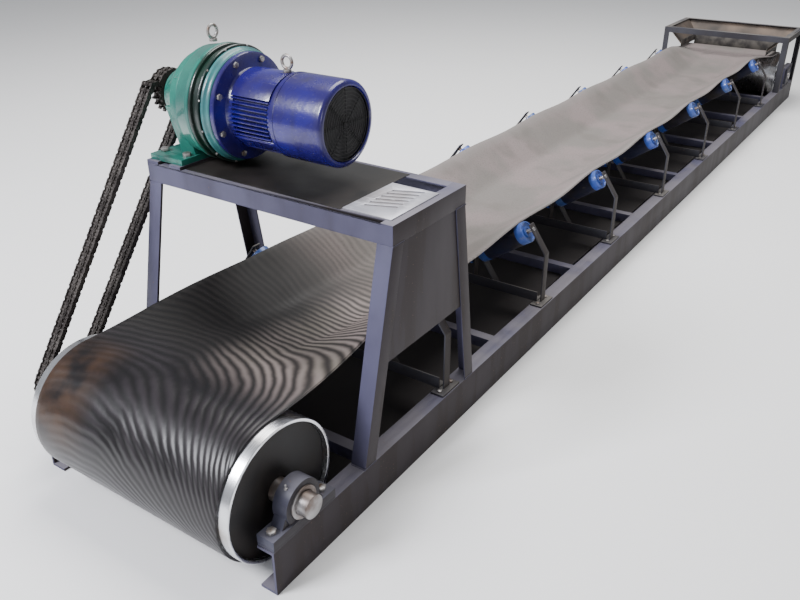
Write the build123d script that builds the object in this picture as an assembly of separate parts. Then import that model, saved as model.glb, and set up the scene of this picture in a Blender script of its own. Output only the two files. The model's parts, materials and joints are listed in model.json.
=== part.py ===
"""Troughed belt conveyor section with a chain drive at its head and a loading hopper at its tail.

Millimetres.  +Z is up and Z=0 is the floor.  +X is to the right of someone who looks from the
head (drive end) towards the tail, and +Y runs from the head to the tail.  The origin is on the
floor at the middle of the four anchor holes.
"""
from build123d import *
from math import asin, atan2, cos, degrees, pi, radians, sin, sqrt, tan
import os

os.makedirs("parts", exist_ok=True)

# ---- driving dimensions: belt and trough
belt_width = 900
belt_thickness = 10
belt_gap = 0.3                # air between the belt and what turns under it
trough_angle = 35
trough_height = 400           # underside of the belt's middle strip over the idlers
centre_strip = 330            # width of the belt's flat middle strip
station_count = 7
first_station = 932           # head drum axis to the first idler station
last_station = 990            # tail drum axis to the last idler station
trough_overrun = 40           # full trough kept past the first and last stations

# ---- side channels
frame_length = 7900
channel_height = 180
channel_flange = 70
channel_web = 9
channel_flange_thickness = 11
channel_to_drum = 25          # drum end to the channel's flange tip
anchor_hole_radius = 9
anchor_from_web = 40
anchor_from_end = 250
tie_size = 50
tie_thickness = 5

# ---- head drum, shaft and bearings
drum_extra_face = 80          # drum face less belt width
head_radius = 250
head_from_end = 158
shell_wall = 12
disc_recess = 20
disc_thickness = 16
shaft_radius = 42.5
hub_radius = 75
hub_length = 70
shaft_right_reach = 40        # shaft end beyond the channel's outer face
floor_clearance = 15          # under the belt at the head drum
bearing_height = 83           # seat to shaft axis
bearing_ring_radius = 82
bearing_ring_width = 60
bearing_base_length = 310
bearing_base_width = 72
bearing_base_thickness = 32
bearing_bolt_spacing = 248
bearing_bolt_size = 20
seat_plate_thickness = 12
inner_ring_radius = 60
running_gap = 0.05            # radial, shaft in bore
fit_gap = 0.3                 # face to face between separate pieces
bolt_gap = 0.6                # bolt hole over bolt, on the radius

# ---- tail drum and take-up
tail_radius = 200
tail_from_end = 300
tail_shaft_radius = 30
take_up_travel = 40
slide_bar_width = 50
slide_bar_thickness = 20
block_length = 140
block_height = 150
block_to_end_plate = 52
end_plate_thickness = 12
screw_radius = 12
screw_reach = 120

# ---- idlers and return rollers
roller_radius = 54
roller_wall = 4
centre_roller_length = 330
roller_past_belt = 25         # wing roller's end past the belt's edge
wing_start = 32               # inner end of the wing roller along its axis
spindle_end_gap = 31          # bare spindle between a wing roller and its outer bracket
spindle_radius = 10
roller_cap_thickness = 14
bracket_thickness = 6
bracket_width = 50
foot_length = 130
foot_width = 60
foot_thickness = 8
bracket_shift = 3             # outer bracket's upright past the channel flange's middle
idler_beam = 50
idler_beam_thickness = 5
idler_bolt_size = 12
idler_bolt_offset = 45
return_radius = 38
return_top = 100
return_count = 2
return_inset = 2392           # head drum axis to the first return roller
return_spacing = 2800

# ---- drive stand
stand_height = 1056
front_foot = 486              # leg foot to the channels' head end
front_top = 664
rear_foot = 1258
rear_top = 1138
leg_size = 65
leg_thickness = 6
rail_height = 75
rail_flange = 50
side_panel_thickness = 3
side_panel_bottom = 550
slotted_plate_length = 300
slotted_plate_width = 200
slotted_plate_thickness = 4
slot_count = 6
slot_length = 120
slot_width = 13
slot_pitch = 34
slot_slant = 22
base_bar_width = 62
base_bar_thickness = 12

# ---- chain drive
chain_pitch = 25.4
chain_links = 120
strand_pitch = 29.29
chain_plate_half = 12
chain_roller_radius = 7.95
tooth_width = 14.5
chain_side_gap = 0.4
outer_plate_band = 7
head_teeth = 24
reducer_teeth = 20
chain_from_web = 70           # chain plane outside the channel's outer face
sprocket_hub_radius = 66

# ---- reducer and motor, along X from the reducer's nose
reducer_from_end = 890
reducer_overhang = 5
nose_length = 140
barrel_length = 50
ring_length = 130
adapter_length = 35
flange_length = 20
body_length = 235
cowl_length = 220
nose_radius = 95
barrel_radius = 185
joint_flange_radius = 208
ring_radius = 222
ring_bore = 190
adapter_radius = 213
motor_flange_radius = 200
body_radius = 150
body_wall = 20
cowl_wall = 2.5
output_shaft_radius = 40
motor_shaft_radius = 24
foot_half_span = 210
foot_plate_thickness = 22
flange_bolt_count = 8
flange_bolt_size = 14
flange_bolt_circle = 178
base_bolt_size = 20
base_bolt_span = 155

# ---- loading hopper
post_size = 50
post_thickness = 5
hopper_length = 700
rim_height = 690
plate_thickness = 4
throat_half_width = 400
throat_height = 540
rear_plate_bottom = 497
rear_plate_run = 190          # how far the rear plate slopes towards the head
rim_bolt_radius = 6.5
rim_bolt_inset = 60           # rim hole to the hopper's end, along the conveyor

# ---- places that follow from the sizes above
drum_half = (belt_width + drum_extra_face) / 2
half_width = drum_half + channel_to_drum + channel_flange
flange_x = half_width - channel_flange / 2
head_end = -frame_length / 2
tail_end = frame_length / 2
head_y = head_end + head_from_end
tail_y = tail_end - tail_from_end
drum_seat = head_radius + belt_thickness + floor_clearance - channel_height - bearing_height
seat_thickness = max(seat_plate_thickness, drum_seat)
head_z = channel_height + seat_thickness + bearing_height
tail_z = channel_height + slide_bar_thickness + fit_gap + block_height / 2
first_y = head_y + first_station
station_pitch = (tail_y - last_station - first_y) / (station_count - 1)
station_ys = [first_y + station_pitch * i for i in range(station_count)]
return_ys = [head_y + return_inset + return_spacing * i for i in range(return_count)]
return_z = return_top - return_radius
chain_x = -half_width - chain_from_web
stand_ys = {"front": (head_end + front_foot, head_end + front_top),
            "rear": (head_end + rear_foot, head_end + rear_top)}

# ---- wing roller axis: it leaves the middle roller's axis at (corner_x, axis_z)
angle = radians(trough_angle)
axis_z = trough_height - belt_gap - roller_radius
belt_fold = (roller_radius + belt_gap) * tan(angle / 2)
corner_x = centre_strip / 2 + belt_fold
wing_end = (belt_width - centre_strip) / 2 + belt_fold + roller_past_belt
wing_roller_length = wing_end - wing_start
ear_start = wing_end + spindle_end_gap


def wing_point(along, up=0):
    """A point on the right wing roller's axis, or square off it, as (x, z)."""
    x = corner_x + along * cos(angle) - up * sin(angle)
    return x, axis_z + along * sin(angle) + up * cos(angle)


# ---- chain run: the centre distance that a whole number of links closes
def chain_run():
    """Length of a straight strand and the drive's centre distance, for the stated links."""
    radius_step = (chain_pitch / 2) * (1 / sin(pi / head_teeth) - 1 / sin(pi / reducer_teeth))
    lean = 0
    for _ in range(4):
        on_head = head_teeth * (pi + 2 * lean) / (2 * pi)
        on_reducer = reducer_teeth * (pi - 2 * lean) / (2 * pi)
        strand = chain_pitch * (chain_links - on_head - on_reducer) / 2
        centres = sqrt(strand ** 2 + radius_step ** 2)
        lean = asin(radius_step / centres)
    return strand, centres, lean


strand_length, drive_centres, strand_lean = chain_run()
head_pitch_radius = chain_pitch / 2 / sin(pi / head_teeth)
reducer_pitch_radius = chain_pitch / 2 / sin(pi / reducer_teeth)
reducer_y = head_end + reducer_from_end
reducer_z = head_z + sqrt(drive_centres ** 2 - (reducer_y - head_y) ** 2)
drive_angle = atan2(reducer_z - head_z, reducer_y - head_y)
leave_angle = drive_angle + pi / 2 + strand_lean
strand_remainder = (strand_length / chain_pitch) % 1
head_phase = degrees(leave_angle)
reducer_phase = degrees(leave_angle) + 360 / reducer_teeth * strand_remainder

# ---- stations along the reducer and the motor
nose_x = -half_width - reducer_overhang
barrel_x = nose_x + nose_length
ring_x = barrel_x + barrel_length
adapter_x = ring_x + ring_length
motor_x = adapter_x + adapter_length
body_x = motor_x + flange_length
cowl_x = body_x + body_length
fan_end_x = cowl_x + cowl_length
base_bar_top = stand_height + base_bar_thickness


# ---- shape helpers
def block(x0, x1, y0, y1, z0, z1):
    """A box between two corners."""
    centre = Pos((x0 + x1) / 2, (y0 + y1) / 2, (z0 + z1) / 2)
    return centre * Box(x1 - x0, y1 - y0, z1 - z0)


def rod_x(x0, x1, radius, y, z):
    """A round bar along X."""
    return Pos((x0 + x1) / 2, y, z) * Rot(0, 90, 0) * Cylinder(radius, x1 - x0)


def tube_x(x0, x1, outer, inner, y, z):
    """A tube or ring along X."""
    return rod_x(x0, x1, outer, y, z) - rod_x(x0 - 1, x1 + 1, inner, y, z)


def rod_y(x, y0, y1, radius, z):
    """A round bar along Y."""
    return Pos(x, (y0 + y1) / 2, z) * Rot(90, 0, 0) * Cylinder(radius, y1 - y0)


def plate_yz(points, x0, x1):
    """An outline in Y and Z, as thick as x0 to x1."""
    outline = Plane.YZ * Polygon(*points, align=None)
    return Pos(x0, 0, 0) * extrude(outline, x1 - x0, dir=(1, 0, 0))


def plate_xz(points, y0, y1):
    """An outline in X and Z, as thick as y0 to y1."""
    outline = Plane.XZ * Polygon(*points, align=None)
    return Pos(0, y0, 0) * extrude(outline, y1 - y0, dir=(0, 1, 0))


def turned(points, y, z):
    """An outline in X and radius, turned about a line along X."""
    return Pos(0, y, z) * revolve(Polygon(*points, align=None), Axis.X)


def strip(start, end, thickness):
    """The four corners of a straight strip between two points."""
    length = sqrt((end[0] - start[0]) ** 2 + (end[1] - start[1]) ** 2)
    across = ((start[1] - end[1]) / length * thickness / 2,
              (end[0] - start[0]) / length * thickness / 2)
    return [(start[0] + across[0], start[1] + across[1]), (end[0] + across[0], end[1] + across[1]),
            (end[0] - across[0], end[1] - across[1]), (start[0] - across[0], start[1] - across[1])]


def both_sides(*shapes):
    """Right-hand shapes and their left-hand copies."""
    return [*shapes, *(mirror(shape, about=Plane.YZ) for shape in shapes)]


def hex_bolt(size, grip):
    """A bolt with its nut: head on Z=0, shank down through the grip."""
    hexagon = RegularPolygon(0.75 * size, 6, major_radius=False)
    head = extrude(hexagon, 0.65 * size)
    shank = Pos(0, 0, -grip / 2 - 0.6 * size) * Cylinder(size / 2, grip + 1.2 * size)
    nut = Pos(0, 0, -grip - 0.8 * size) * extrude(hexagon, 0.8 * size)
    return head + shank + nut


def drill(shape, places, radius, z0, z1):
    """Cut upright round holes at the (x, y) places."""
    for x, y in places:
        shape = shape - Pos(x, y, (z0 + z1) / 2) * Cylinder(radius, z1 - z0)
    return shape


def save(node, *shapes):
    """Write one node, its solids side by side and not fused."""
    solids = [solid for shape in shapes for solid in shape.solids()]
    export_step(Compound(solids), f"parts/{node}.step")


# ---- bolts that go down through the channels' top flanges
bearing_bolts = [(flange_x, head_y + side * bearing_bolt_spacing / 2) for side in (-1, 1)]
idler_bolts = [(flange_x, y + side * idler_bolt_offset) for y in station_ys for side in (-1, 1)]


def side_channel():
    """The right-hand channel: web outside, with its anchor and bolt holes."""
    inner = half_width - channel_web
    tip = half_width - channel_flange
    top = channel_height - channel_flange_thickness
    outline = [(half_width, 0), (half_width, channel_height), (tip, channel_height), (tip, top),
               (inner, top), (inner, channel_flange_thickness), (tip, channel_flange_thickness),
               (tip, 0)]
    channel = plate_xz(outline, head_end, tail_end)
    anchor_y = tail_end - anchor_from_end
    anchors = [(half_width - anchor_from_web, side * anchor_y) for side in (-1, 1)]
    channel = drill(channel, anchors, anchor_hole_radius, -1, channel_flange_thickness + 1)
    bearing_hole = bearing_bolt_size / 2 + bolt_gap
    channel = drill(channel, bearing_bolts, bearing_hole, top - 1, channel_height + 1)
    idler_hole = idler_bolt_size / 2 + bolt_gap
    return drill(channel, idler_bolts, idler_hole, top - 1, channel_height + 1)


def cross_tie(y):
    """An angle between the channels, welded up under their top flanges."""
    reach = half_width - channel_web
    top = channel_height - channel_flange_thickness
    flat = block(-reach, reach, y, y + tie_size, top - tie_thickness, top)
    return flat + block(-reach, reach, y, y + tie_thickness, top - tie_size, top)


def pillow_block():
    """The right-hand head bearing housing: base, cheeks and ring, bored for the bearing."""
    seat = channel_height + seat_thickness
    half = bearing_base_width / 2
    base = block(flange_x - half, flange_x + half, head_y - bearing_base_length / 2,
                 head_y + bearing_base_length / 2, seat, seat + bearing_base_thickness)
    ring_half = bearing_ring_width / 2
    cheeks = plate_yz([(head_y - 1.35 * bearing_ring_radius, seat + bearing_base_thickness / 2),
                       (head_y + 1.35 * bearing_ring_radius, seat + bearing_base_thickness / 2),
                       (head_y + 0.9 * bearing_ring_radius, head_z),
                       (head_y - 0.9 * bearing_ring_radius, head_z)],
                      flange_x - ring_half + 6, flange_x + ring_half - 6)
    ring = rod_x(flange_x - ring_half, flange_x + ring_half, bearing_ring_radius, head_y, head_z)
    bore = rod_x(flange_x - half - 1, flange_x + half + 1, inner_ring_radius + fit_gap,
                 head_y, head_z)
    housing = base + cheeks + ring - bore
    hole = bearing_bolt_size / 2 + bolt_gap
    return drill(housing, bearing_bolts, hole, seat - 1, seat + bearing_base_thickness + 1)


def bearing_seat_plate():
    """The machined plate between the channel's flange and the bearing."""
    half = bearing_base_width / 2 - 1
    plate = block(flange_x - half, flange_x + half, head_y - bearing_base_length / 2,
                  head_y + bearing_base_length / 2, channel_height,
                  channel_height + seat_thickness)
    hole = bearing_bolt_size / 2 + bolt_gap
    return drill(plate, bearing_bolts, hole, channel_height - 1, head_z)


def drum_disc(side, radius, bore, y, z):
    """One end disc of a drum, with its hub."""
    outer = side * (drum_half - disc_recess)
    inner = outer - side * disc_thickness
    hub_end = outer - side * hub_length
    disc = tube_x(min(outer, inner), max(outer, inner), radius - shell_wall - 0.1, bore, y, z)
    return disc + tube_x(min(outer, hub_end), max(outer, hub_end), hub_radius, bore, y, z)


def sprocket_disc(teeth, phase, centre_x, bore, y, z):
    """One toothed disc of a duplex sprocket."""
    pitch_radius = chain_pitch / 2 / sin(pi / teeth)
    tip_radius = chain_pitch / 2 * (0.54 + 1 / tan(pi / teeth))
    seat = chain_roller_radius + 0.15
    height = tip_radius - pitch_radius + 2
    flank = Polygon((0, -seat), (height, -seat - 0.45 * height), (height, seat + 0.45 * height),
                    (0, seat), align=None)
    notch = Circle(seat) + flank
    cut = PolarLocations(pitch_radius, teeth, start_angle=phase)
    outline = Circle(tip_radius) - cut * notch - Circle(bore)
    solid = extrude(Plane.YZ * outline, tooth_width)
    return Pos(centre_x - tooth_width / 2, y, z) * solid


def sprocket(teeth, phase, bore, y, z):
    """A duplex sprocket: two toothed discs and the hub that joins them."""
    wheels = [sprocket_disc(teeth, phase, chain_x + side * strand_pitch / 2, bore, y, z)
              for side in (-1, 1)]
    hub_half = strand_pitch / 2 + tooth_width / 2
    hub = tube_x(chain_x - hub_half, chain_x + hub_half - 1, sprocket_hub_radius, bore, y, z)
    return wheels[0] + wheels[1] + hub


def chain_outline(margin):
    """The outline round both pitch circles, a margin outside or inside them."""
    head = head_pitch_radius + margin
    small = reducer_pitch_radius + margin
    up = sin(strand_lean)
    out = cos(strand_lean)
    tangent = Polygon((head * up, head * out), (drive_centres + small * up, small * out),
                      (drive_centres + small * up, -small * out), (head * up, -head * out),
                      align=None)
    return Circle(head) + Pos(drive_centres, 0) * Circle(small) + tangent


def chain_band(x0, x1):
    """One closed row of chain plates, as a plain band round both sprockets."""
    band = chain_outline(chain_plate_half) - chain_outline(-chain_plate_half)
    solid = extrude(Plane.YZ * (Rot(0, 0, degrees(drive_angle)) * band), x1 - x0)
    return Pos(x0, head_y, head_z) * solid


def drive_chain():
    """The duplex chain: an outer, a middle and another outer row of plates."""
    disc_face = strand_pitch / 2 + tooth_width / 2 + chain_side_gap
    middle_half = strand_pitch / 2 - tooth_width / 2 - chain_side_gap
    return [chain_band(chain_x - disc_face - outer_plate_band, chain_x - disc_face),
            chain_band(chain_x - middle_half, chain_x + middle_half),
            chain_band(chain_x + disc_face, chain_x + disc_face + outer_plate_band)]


def roller(length, radius, wall):
    """A roller along X at the origin: tube and two end caps bored for the spindle."""
    half = length / 2
    tube = tube_x(-half, half, radius, radius - wall, 0, 0)
    caps = [tube_x(side * half - roller_cap_thickness * (side > 0),
                   side * half + roller_cap_thickness * (side < 0),
                   radius - wall - 0.1, spindle_radius + running_gap, 0, 0) for side in (-1, 1)]
    return Compound([solid for shape in (tube, *caps) for solid in shape.solids()])


def wing_place(along, y, side):
    """Where something stands on a wing roller's axis; side is 1 for right and -1 for left."""
    x, z = wing_point(along)
    return Pos(side * x, y, z) * Rot(0, -side * trough_angle, 0)


def idler_pieces(y):
    """One idler station's frame: beam, two inner stands and two outer brackets."""
    beam_bottom = channel_height + foot_thickness
    beam_top = beam_bottom + idler_beam_thickness
    reach = flange_x + foot_width / 2 - 45
    beam = block(-reach, reach, y - idler_beam / 2, y + idler_beam / 2, beam_bottom, beam_top)
    beam += block(-reach, reach, y - idler_beam / 2, y - idler_beam / 2 + idler_beam_thickness,
                  beam_bottom, beam_bottom + idler_beam)
    low, high = y - bracket_width / 2 + idler_beam_thickness + 1, y + bracket_width / 2
    middle = bracket_thickness / 2
    upright_x = centre_strip / 2 + 5 + middle
    stand_top = axis_z + 32
    inner_ear = wing_start - bracket_thickness - 5
    inner_stand = plate_xz(strip((upright_x, 0), (upright_x, stand_top), bracket_thickness),
                           low, high)
    inner_stand += plate_xz(strip(wing_point(inner_ear, -400), wing_point(inner_ear, 26),
                                  bracket_thickness), low, high)
    apex_x = wing_point(inner_ear, 26)[0]
    inner_stand += block(upright_x - middle, apex_x + 2, low, high, stand_top - 8, stand_top)
    inner_stand &= block(0, half_width, low, high, beam_top, stand_top)
    bend_up = (wing_point(ear_start)[0] - flange_x - bracket_shift) / sin(angle)
    bend = wing_point(ear_start, bend_up)
    outer = plate_xz(strip((bend[0], channel_height), bend, bracket_thickness), low, high)
    outer += plate_xz(strip(bend, wing_point(ear_start, 28), bracket_thickness), low, high)
    outer += Pos(bend[0], (low + high) / 2, bend[1]) * Rot(90, 0, 0) * Cylinder(
        bracket_thickness / 2, high - low)
    foot_outer = flange_x + foot_width / 2
    foot = block(foot_outer - foot_width, foot_outer, y - foot_length / 2, y + foot_length / 2,
                 channel_height, channel_height + foot_thickness)
    outer &= block(0, half_width + 50, low, high, channel_height, axis_z * 3)
    outer += foot
    hole = idler_bolt_size / 2 + bolt_gap
    places = [(flange_x, y + side * idler_bolt_offset) for side in (-1, 1)]
    outer = drill(outer, places, hole, channel_height - 1, channel_height + foot_thickness + 1)
    middle_hole = rod_x(-half_width, half_width, spindle_radius + bolt_gap, y, axis_z)
    wing_hole = wing_place(0, y, 1) * Rot(0, 90, 0) * Cylinder(
        spindle_radius + bolt_gap, 2 * (ear_start + bracket_thickness + 20))
    inner_stand = inner_stand - middle_hole - wing_hole
    outer = outer - wing_hole
    return [beam, *both_sides(inner_stand, outer)]


def spindle_pieces(y):
    """One idler station's three fixed spindles."""
    half = centre_strip / 2 + 5 + bracket_thickness
    middle = rod_x(-half, half, spindle_radius, y, axis_z)
    start = wing_start - bracket_thickness - 10
    length = ear_start + bracket_thickness - start
    wing = wing_place(start + length / 2, y, 1) * Rot(0, 90, 0) * Cylinder(spindle_radius, length)
    return [middle, *both_sides(wing)]


def trough_section(y, left_x, bend, lift, part):
    """One strip's cross section at y: bend is the trough angle there, lift the middle's height."""
    mitre = belt_thickness * tan(bend / 2)
    half = centre_strip / 2
    wing = (belt_width - centre_strip) / 2
    if part == "middle":
        points = [(-half, lift), (half, lift), (half - mitre, lift + belt_thickness),
                  (-half + mitre, lift + belt_thickness)]
    else:
        edge = (half + wing * cos(bend), lift + wing * sin(bend))
        points = [(half, lift), edge,
                  (edge[0] - belt_thickness * sin(bend), edge[1] + belt_thickness * cos(bend)),
                  (half - mitre, lift + belt_thickness)]
        points = [(left_x * x, z) for x, z in points]
    return Pos(0, y, 0) * (Plane.XZ * Polygon(*points, align=None))


def trough_strips(y0, bend0, lift0, y1, bend1, lift1):
    """The belt between two cross sections, as a middle strip and two wings."""
    strips = []
    for part, side in (("middle", 1), ("wing", 1), ("wing", -1)):
        sections = [trough_section(y0, side, bend0, lift0, part),
                    trough_section(y1, side, bend1, lift1, part)]
        strips.append(loft(sections, ruled=True))
    return strips


def belt_wrap(radius, y, z, side):
    """The belt's half turn round a drum; side is -1 at the head and 1 at the tail."""
    inner = radius + belt_gap
    ring = tube_x(-belt_width / 2, belt_width / 2, inner + belt_thickness, inner, y, z)
    near, far = sorted((y, y + side * 2 * radius))
    return ring & block(-belt_width, belt_width, near, far, z - 2 * radius, z + 2 * radius)


def conveyor_belt():
    """The whole endless belt: troughed run, flat ends, the two half turns and the return run."""
    half = belt_width / 2
    head_top = head_z + head_radius + belt_gap
    tail_top = tail_z + tail_radius + belt_gap
    head_flat = head_y + 60
    tail_flat = tail_y - take_up_travel - 60
    pieces = [block(-half, half, head_y, head_flat, head_top, head_top + belt_thickness),
              block(-half, half, tail_flat, tail_y, tail_top, tail_top + belt_thickness)]
    trough_start = station_ys[0] - trough_overrun
    trough_end = station_ys[-1] + trough_overrun
    pieces += trough_strips(head_flat, 0, head_top, trough_start, angle, trough_height)
    pieces += trough_strips(trough_start, angle, trough_height, trough_end, angle, trough_height)
    pieces += trough_strips(trough_end, angle, trough_height, tail_flat, 0, tail_top)
    pieces += [belt_wrap(head_radius, head_y, head_z, -1),
               belt_wrap(tail_radius, tail_y, tail_z, 1)]
    head_low = head_z - head_radius - belt_gap
    tail_low = tail_z - tail_radius - belt_gap
    route = [(head_y, head_low), (head_flat, head_low)]
    route += [(y, return_top + belt_gap + belt_thickness) for y in return_ys]
    route += [(tail_flat, tail_low), (tail_y, tail_low)]
    for (y0, z0), (y1, z1) in zip(route, route[1:]):
        outline = [(y0, z0), (y1, z1), (y1, z1 - belt_thickness), (y0, z0 - belt_thickness)]
        pieces.append(plate_yz(outline, -half, half))
    return pieces


def stand_leg(place):
    """One right-hand leg of the drive stand: an angle that leans along the conveyor."""
    foot, top = stand_ys[place]
    face = 1 if place == "front" else -1
    z0, z1 = channel_height, stand_height - rail_height

    def slanted(width, x0, x1):
        near, far = foot, top
        outline = [(near, z0), (near + face * width, z0), (far + face * width, z1), (far, z1)]
        return plate_yz(outline, x0, x1)

    side = slanted(leg_size, half_width - leg_thickness, half_width)
    return side + slanted(leg_thickness, half_width - leg_size, half_width)


def base_bolt_places():
    """Where the reducer is bolted to its two bars."""
    return [(x + base_bar_width / 2, reducer_y + side * base_bolt_span)
            for x in (-half_width, ring_x - base_bar_width) for side in (-1, 1)]


def stand_rails():
    """The stand's top frame: four angles, and the two bars that the reducer stands on."""
    y0, y1 = stand_ys["front"][1], stand_ys["rear"][1]
    low = stand_height - rail_height
    flat = stand_height - leg_thickness
    side = block(half_width - leg_thickness, half_width, y0, y1, low, stand_height)
    side += block(half_width - rail_flange, half_width, y0, y1, flat, stand_height)
    reach = half_width - rail_flange
    wall = half_width - leg_thickness
    front = block(-reach, reach, y0, y0 + rail_flange, flat, stand_height)
    front += block(-wall, wall, y0, y0 + leg_thickness, low, flat)
    rear = block(-reach, reach, y1 - rail_flange, y1, flat, stand_height)
    rear += block(-wall, wall, y1 - leg_thickness, y1, low, flat)
    bars = [block(x, x + base_bar_width, y0, y1, stand_height, base_bar_top)
            for x in (-half_width, ring_x - base_bar_width)]
    hole = base_bolt_size / 2 + bolt_gap
    bars = [drill(bar, base_bolt_places(), hole, stand_height - 1, base_bar_top + 1)
            for bar in bars]
    return [*both_sides(side), front, rear, *bars]


def slanted_panel():
    """The flat sheet between the two right-hand legs, inside their flanges."""
    low, high = side_panel_bottom, stand_height - rail_height + 40
    z0, z1 = channel_height, stand_height - rail_height

    def leg_y(place, z):
        foot, top = stand_ys[place]
        return foot + (top - foot) * (z - z0) / (z1 - z0)

    inset = leg_thickness + fit_gap
    outline = [(leg_y("front", low) + inset, low), (leg_y("rear", low) - inset, low),
               (leg_y("rear", z1) - inset, z1), (leg_y("rear", z1) - inset, high),
               (leg_y("front", z1) + inset, high), (leg_y("front", z1) + inset, z1)]
    face = half_width - leg_thickness
    return plate_yz(outline, face - side_panel_thickness, face)


def slotted_plate():
    """The slotted cover plate at the stand's front right corner."""
    x1 = half_width - 30
    y0 = stand_ys["front"][1] + 34
    plate = block(x1 - slotted_plate_width, x1, y0, y0 + slotted_plate_length,
                  stand_height, stand_height + slotted_plate_thickness)
    for i in range(slot_count):
        y = y0 + slotted_plate_length - 45 - slot_pitch * i
        slot = extrude(SlotOverall(slot_length, slot_width), 3 * slotted_plate_thickness)
        plate -= Pos(x1 - slotted_plate_width / 2, y, stand_height - 4) * Rot(0, 0, slot_slant) * slot
    return plate


def reducer_housing():
    """The reducer's cast nose, barrel and foot, hollow inside."""
    wall = 14
    shell = turned([(nose_x, 0), (nose_x, nose_radius), (nose_x + 18, nose_radius + 4),
                    (barrel_x - 8, barrel_radius), (ring_x - 14, barrel_radius),
                    (ring_x - 14, joint_flange_radius), (ring_x, joint_flange_radius),
                    (ring_x, 0)], reducer_y, reducer_z)
    foot_x0, foot_x1 = nose_x + 12, ring_x - 4
    plate = block(foot_x0, foot_x1, reducer_y - foot_half_span, reducer_y + foot_half_span,
                  base_bar_top, base_bar_top + foot_plate_thickness)
    web = plate_yz([(reducer_y - 120, base_bar_top), (reducer_y + 120, base_bar_top),
                    (reducer_y + barrel_radius - 5, reducer_z), (reducer_y - barrel_radius + 5, reducer_z)],
                   barrel_x - 40, ring_x - 14)
    nose_web = plate_yz([(reducer_y - 60, base_bar_top), (reducer_y + 60, base_bar_top),
                         (reducer_y + 40, reducer_z), (reducer_y - 40, reducer_z)],
                        foot_x0 + 6, barrel_x)
    cavity = turned([(nose_x + 40, 0), (nose_x + 40, nose_radius - wall),
                     (barrel_x, barrel_radius - wall), (ring_x + 1, barrel_radius - wall),
                     (ring_x + 1, 0)], reducer_y, reducer_z)
    bore = rod_x(nose_x - 1, nose_x + 41, output_shaft_radius + running_gap, reducer_y, reducer_z)
    housing = shell + plate + web + nose_web - cavity - bore
    hole = base_bolt_size / 2 + bolt_gap
    return drill(housing, base_bolt_places(), hole, base_bar_top - 1,
                 base_bar_top + foot_plate_thickness + 1)


flange_bolt_places = [(reducer_y + flange_bolt_circle * cos(2 * pi * (i + 0.5) / flange_bolt_count),
                       reducer_z + flange_bolt_circle * sin(2 * pi * (i + 0.5) / flange_bolt_count))
                      for i in range(flange_bolt_count)]


def flange_holes(shape):
    """Cut the motor flange's ring of bolt holes."""
    for y, z in flange_bolt_places:
        shape = shape - rod_x(adapter_x - 1, body_x + 1, flange_bolt_size / 2 + bolt_gap, y, z)
    return shape


def motor_housing():
    """The motor's flanged barrel and its rear shield."""
    bore = body_radius - body_wall
    barrel = turned([(motor_x, motor_shaft_radius + running_gap), (motor_x, motor_flange_radius),
                     (body_x, motor_flange_radius), (body_x, body_radius), (cowl_x - 14, body_radius),
                     (cowl_x - 14, bore), (body_x, bore), (body_x, motor_shaft_radius + running_gap)],
                    reducer_y, reducer_z)
    shield_radius = body_radius + cowl_wall
    shield = turned([(cowl_x - 14, motor_shaft_radius + running_gap), (cowl_x - 14, shield_radius),
                     (cowl_x + 4, shield_radius), (cowl_x + 4, motor_shaft_radius + running_gap)],
                    reducer_y, reducer_z)
    return [flange_holes(barrel), shield]


def fan_cowl():
    """The motor's fan cowl with its ring grille."""
    inner = body_radius + cowl_wall + fit_gap
    outer = inner + cowl_wall
    end_radius = outer - 35
    shell = turned([(cowl_x - 10, inner), (cowl_x - 10, outer), (fan_end_x - 30, outer),
                    (fan_end_x - 9, outer - 12), (fan_end_x, end_radius), (fan_end_x, end_radius - 12),
                    (fan_end_x - cowl_wall, end_radius - 12), (fan_end_x - cowl_wall, end_radius - 2),
                    (fan_end_x - 12, inner - 12), (fan_end_x - 31, inner)], reducer_y, reducer_z)
    rings = [tube_x(fan_end_x - cowl_wall, fan_end_x, end_radius - 12 - 20 * i,
                    end_radius - 16 - 20 * i, reducer_y, reducer_z) for i in range(5)]
    spokes = [Pos(fan_end_x - cowl_wall / 2, reducer_y, reducer_z) * Rot(turn, 0, 0)
              * Box(cowl_wall, 2 * end_radius - 26, 6) for turn in (0, 45, 90, 135)]
    for piece in (*rings, *spokes):
        shell = shell + piece
    return shell


def motor_fan():
    """The motor's cooling fan: hub, back plate and eight blades."""
    hub = tube_x(cowl_x + 60, cowl_x + 110, 42, motor_shaft_radius + 0.1, reducer_y, reducer_z)
    plate = tube_x(cowl_x + 60, cowl_x + 64, 125, motor_shaft_radius + 0.1, reducer_y, reducer_z)
    fan = hub + plate
    for i in range(8):
        blade = Pos(cowl_x + 85, 0, 80) * Box(42, 4, 84)
        fan += Pos(0, reducer_y, reducer_z) * Rot(45 * i, 0, 0) * blade
    return fan


def terminal_box():
    """The motor's terminal box and cable gland, on the tail side of the barrel."""
    box = block(body_x + 55, body_x + 175, reducer_y + body_radius - 12, reducer_y + body_radius + 62,
                reducer_z - 60, reducer_z + 60)
    box -= rod_x(body_x, cowl_x, body_radius + 0.1, reducer_y, reducer_z)
    gland_y = reducer_y + body_radius + 34
    gland = Pos(body_x + 115, gland_y, reducer_z - 60 - 14) * Cylinder(14, 28)
    return [box, gland]


def eye_bolt(x, z):
    """A lifting eye standing on a crown line at height z."""
    collar = Pos(x, reducer_y, z + 5) * Cylinder(15, 10)
    ring = Pos(x, reducer_y, z + 10 + 26) * Rot(90, 0, 0) * Torus(23, 6)
    return collar + ring


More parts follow.
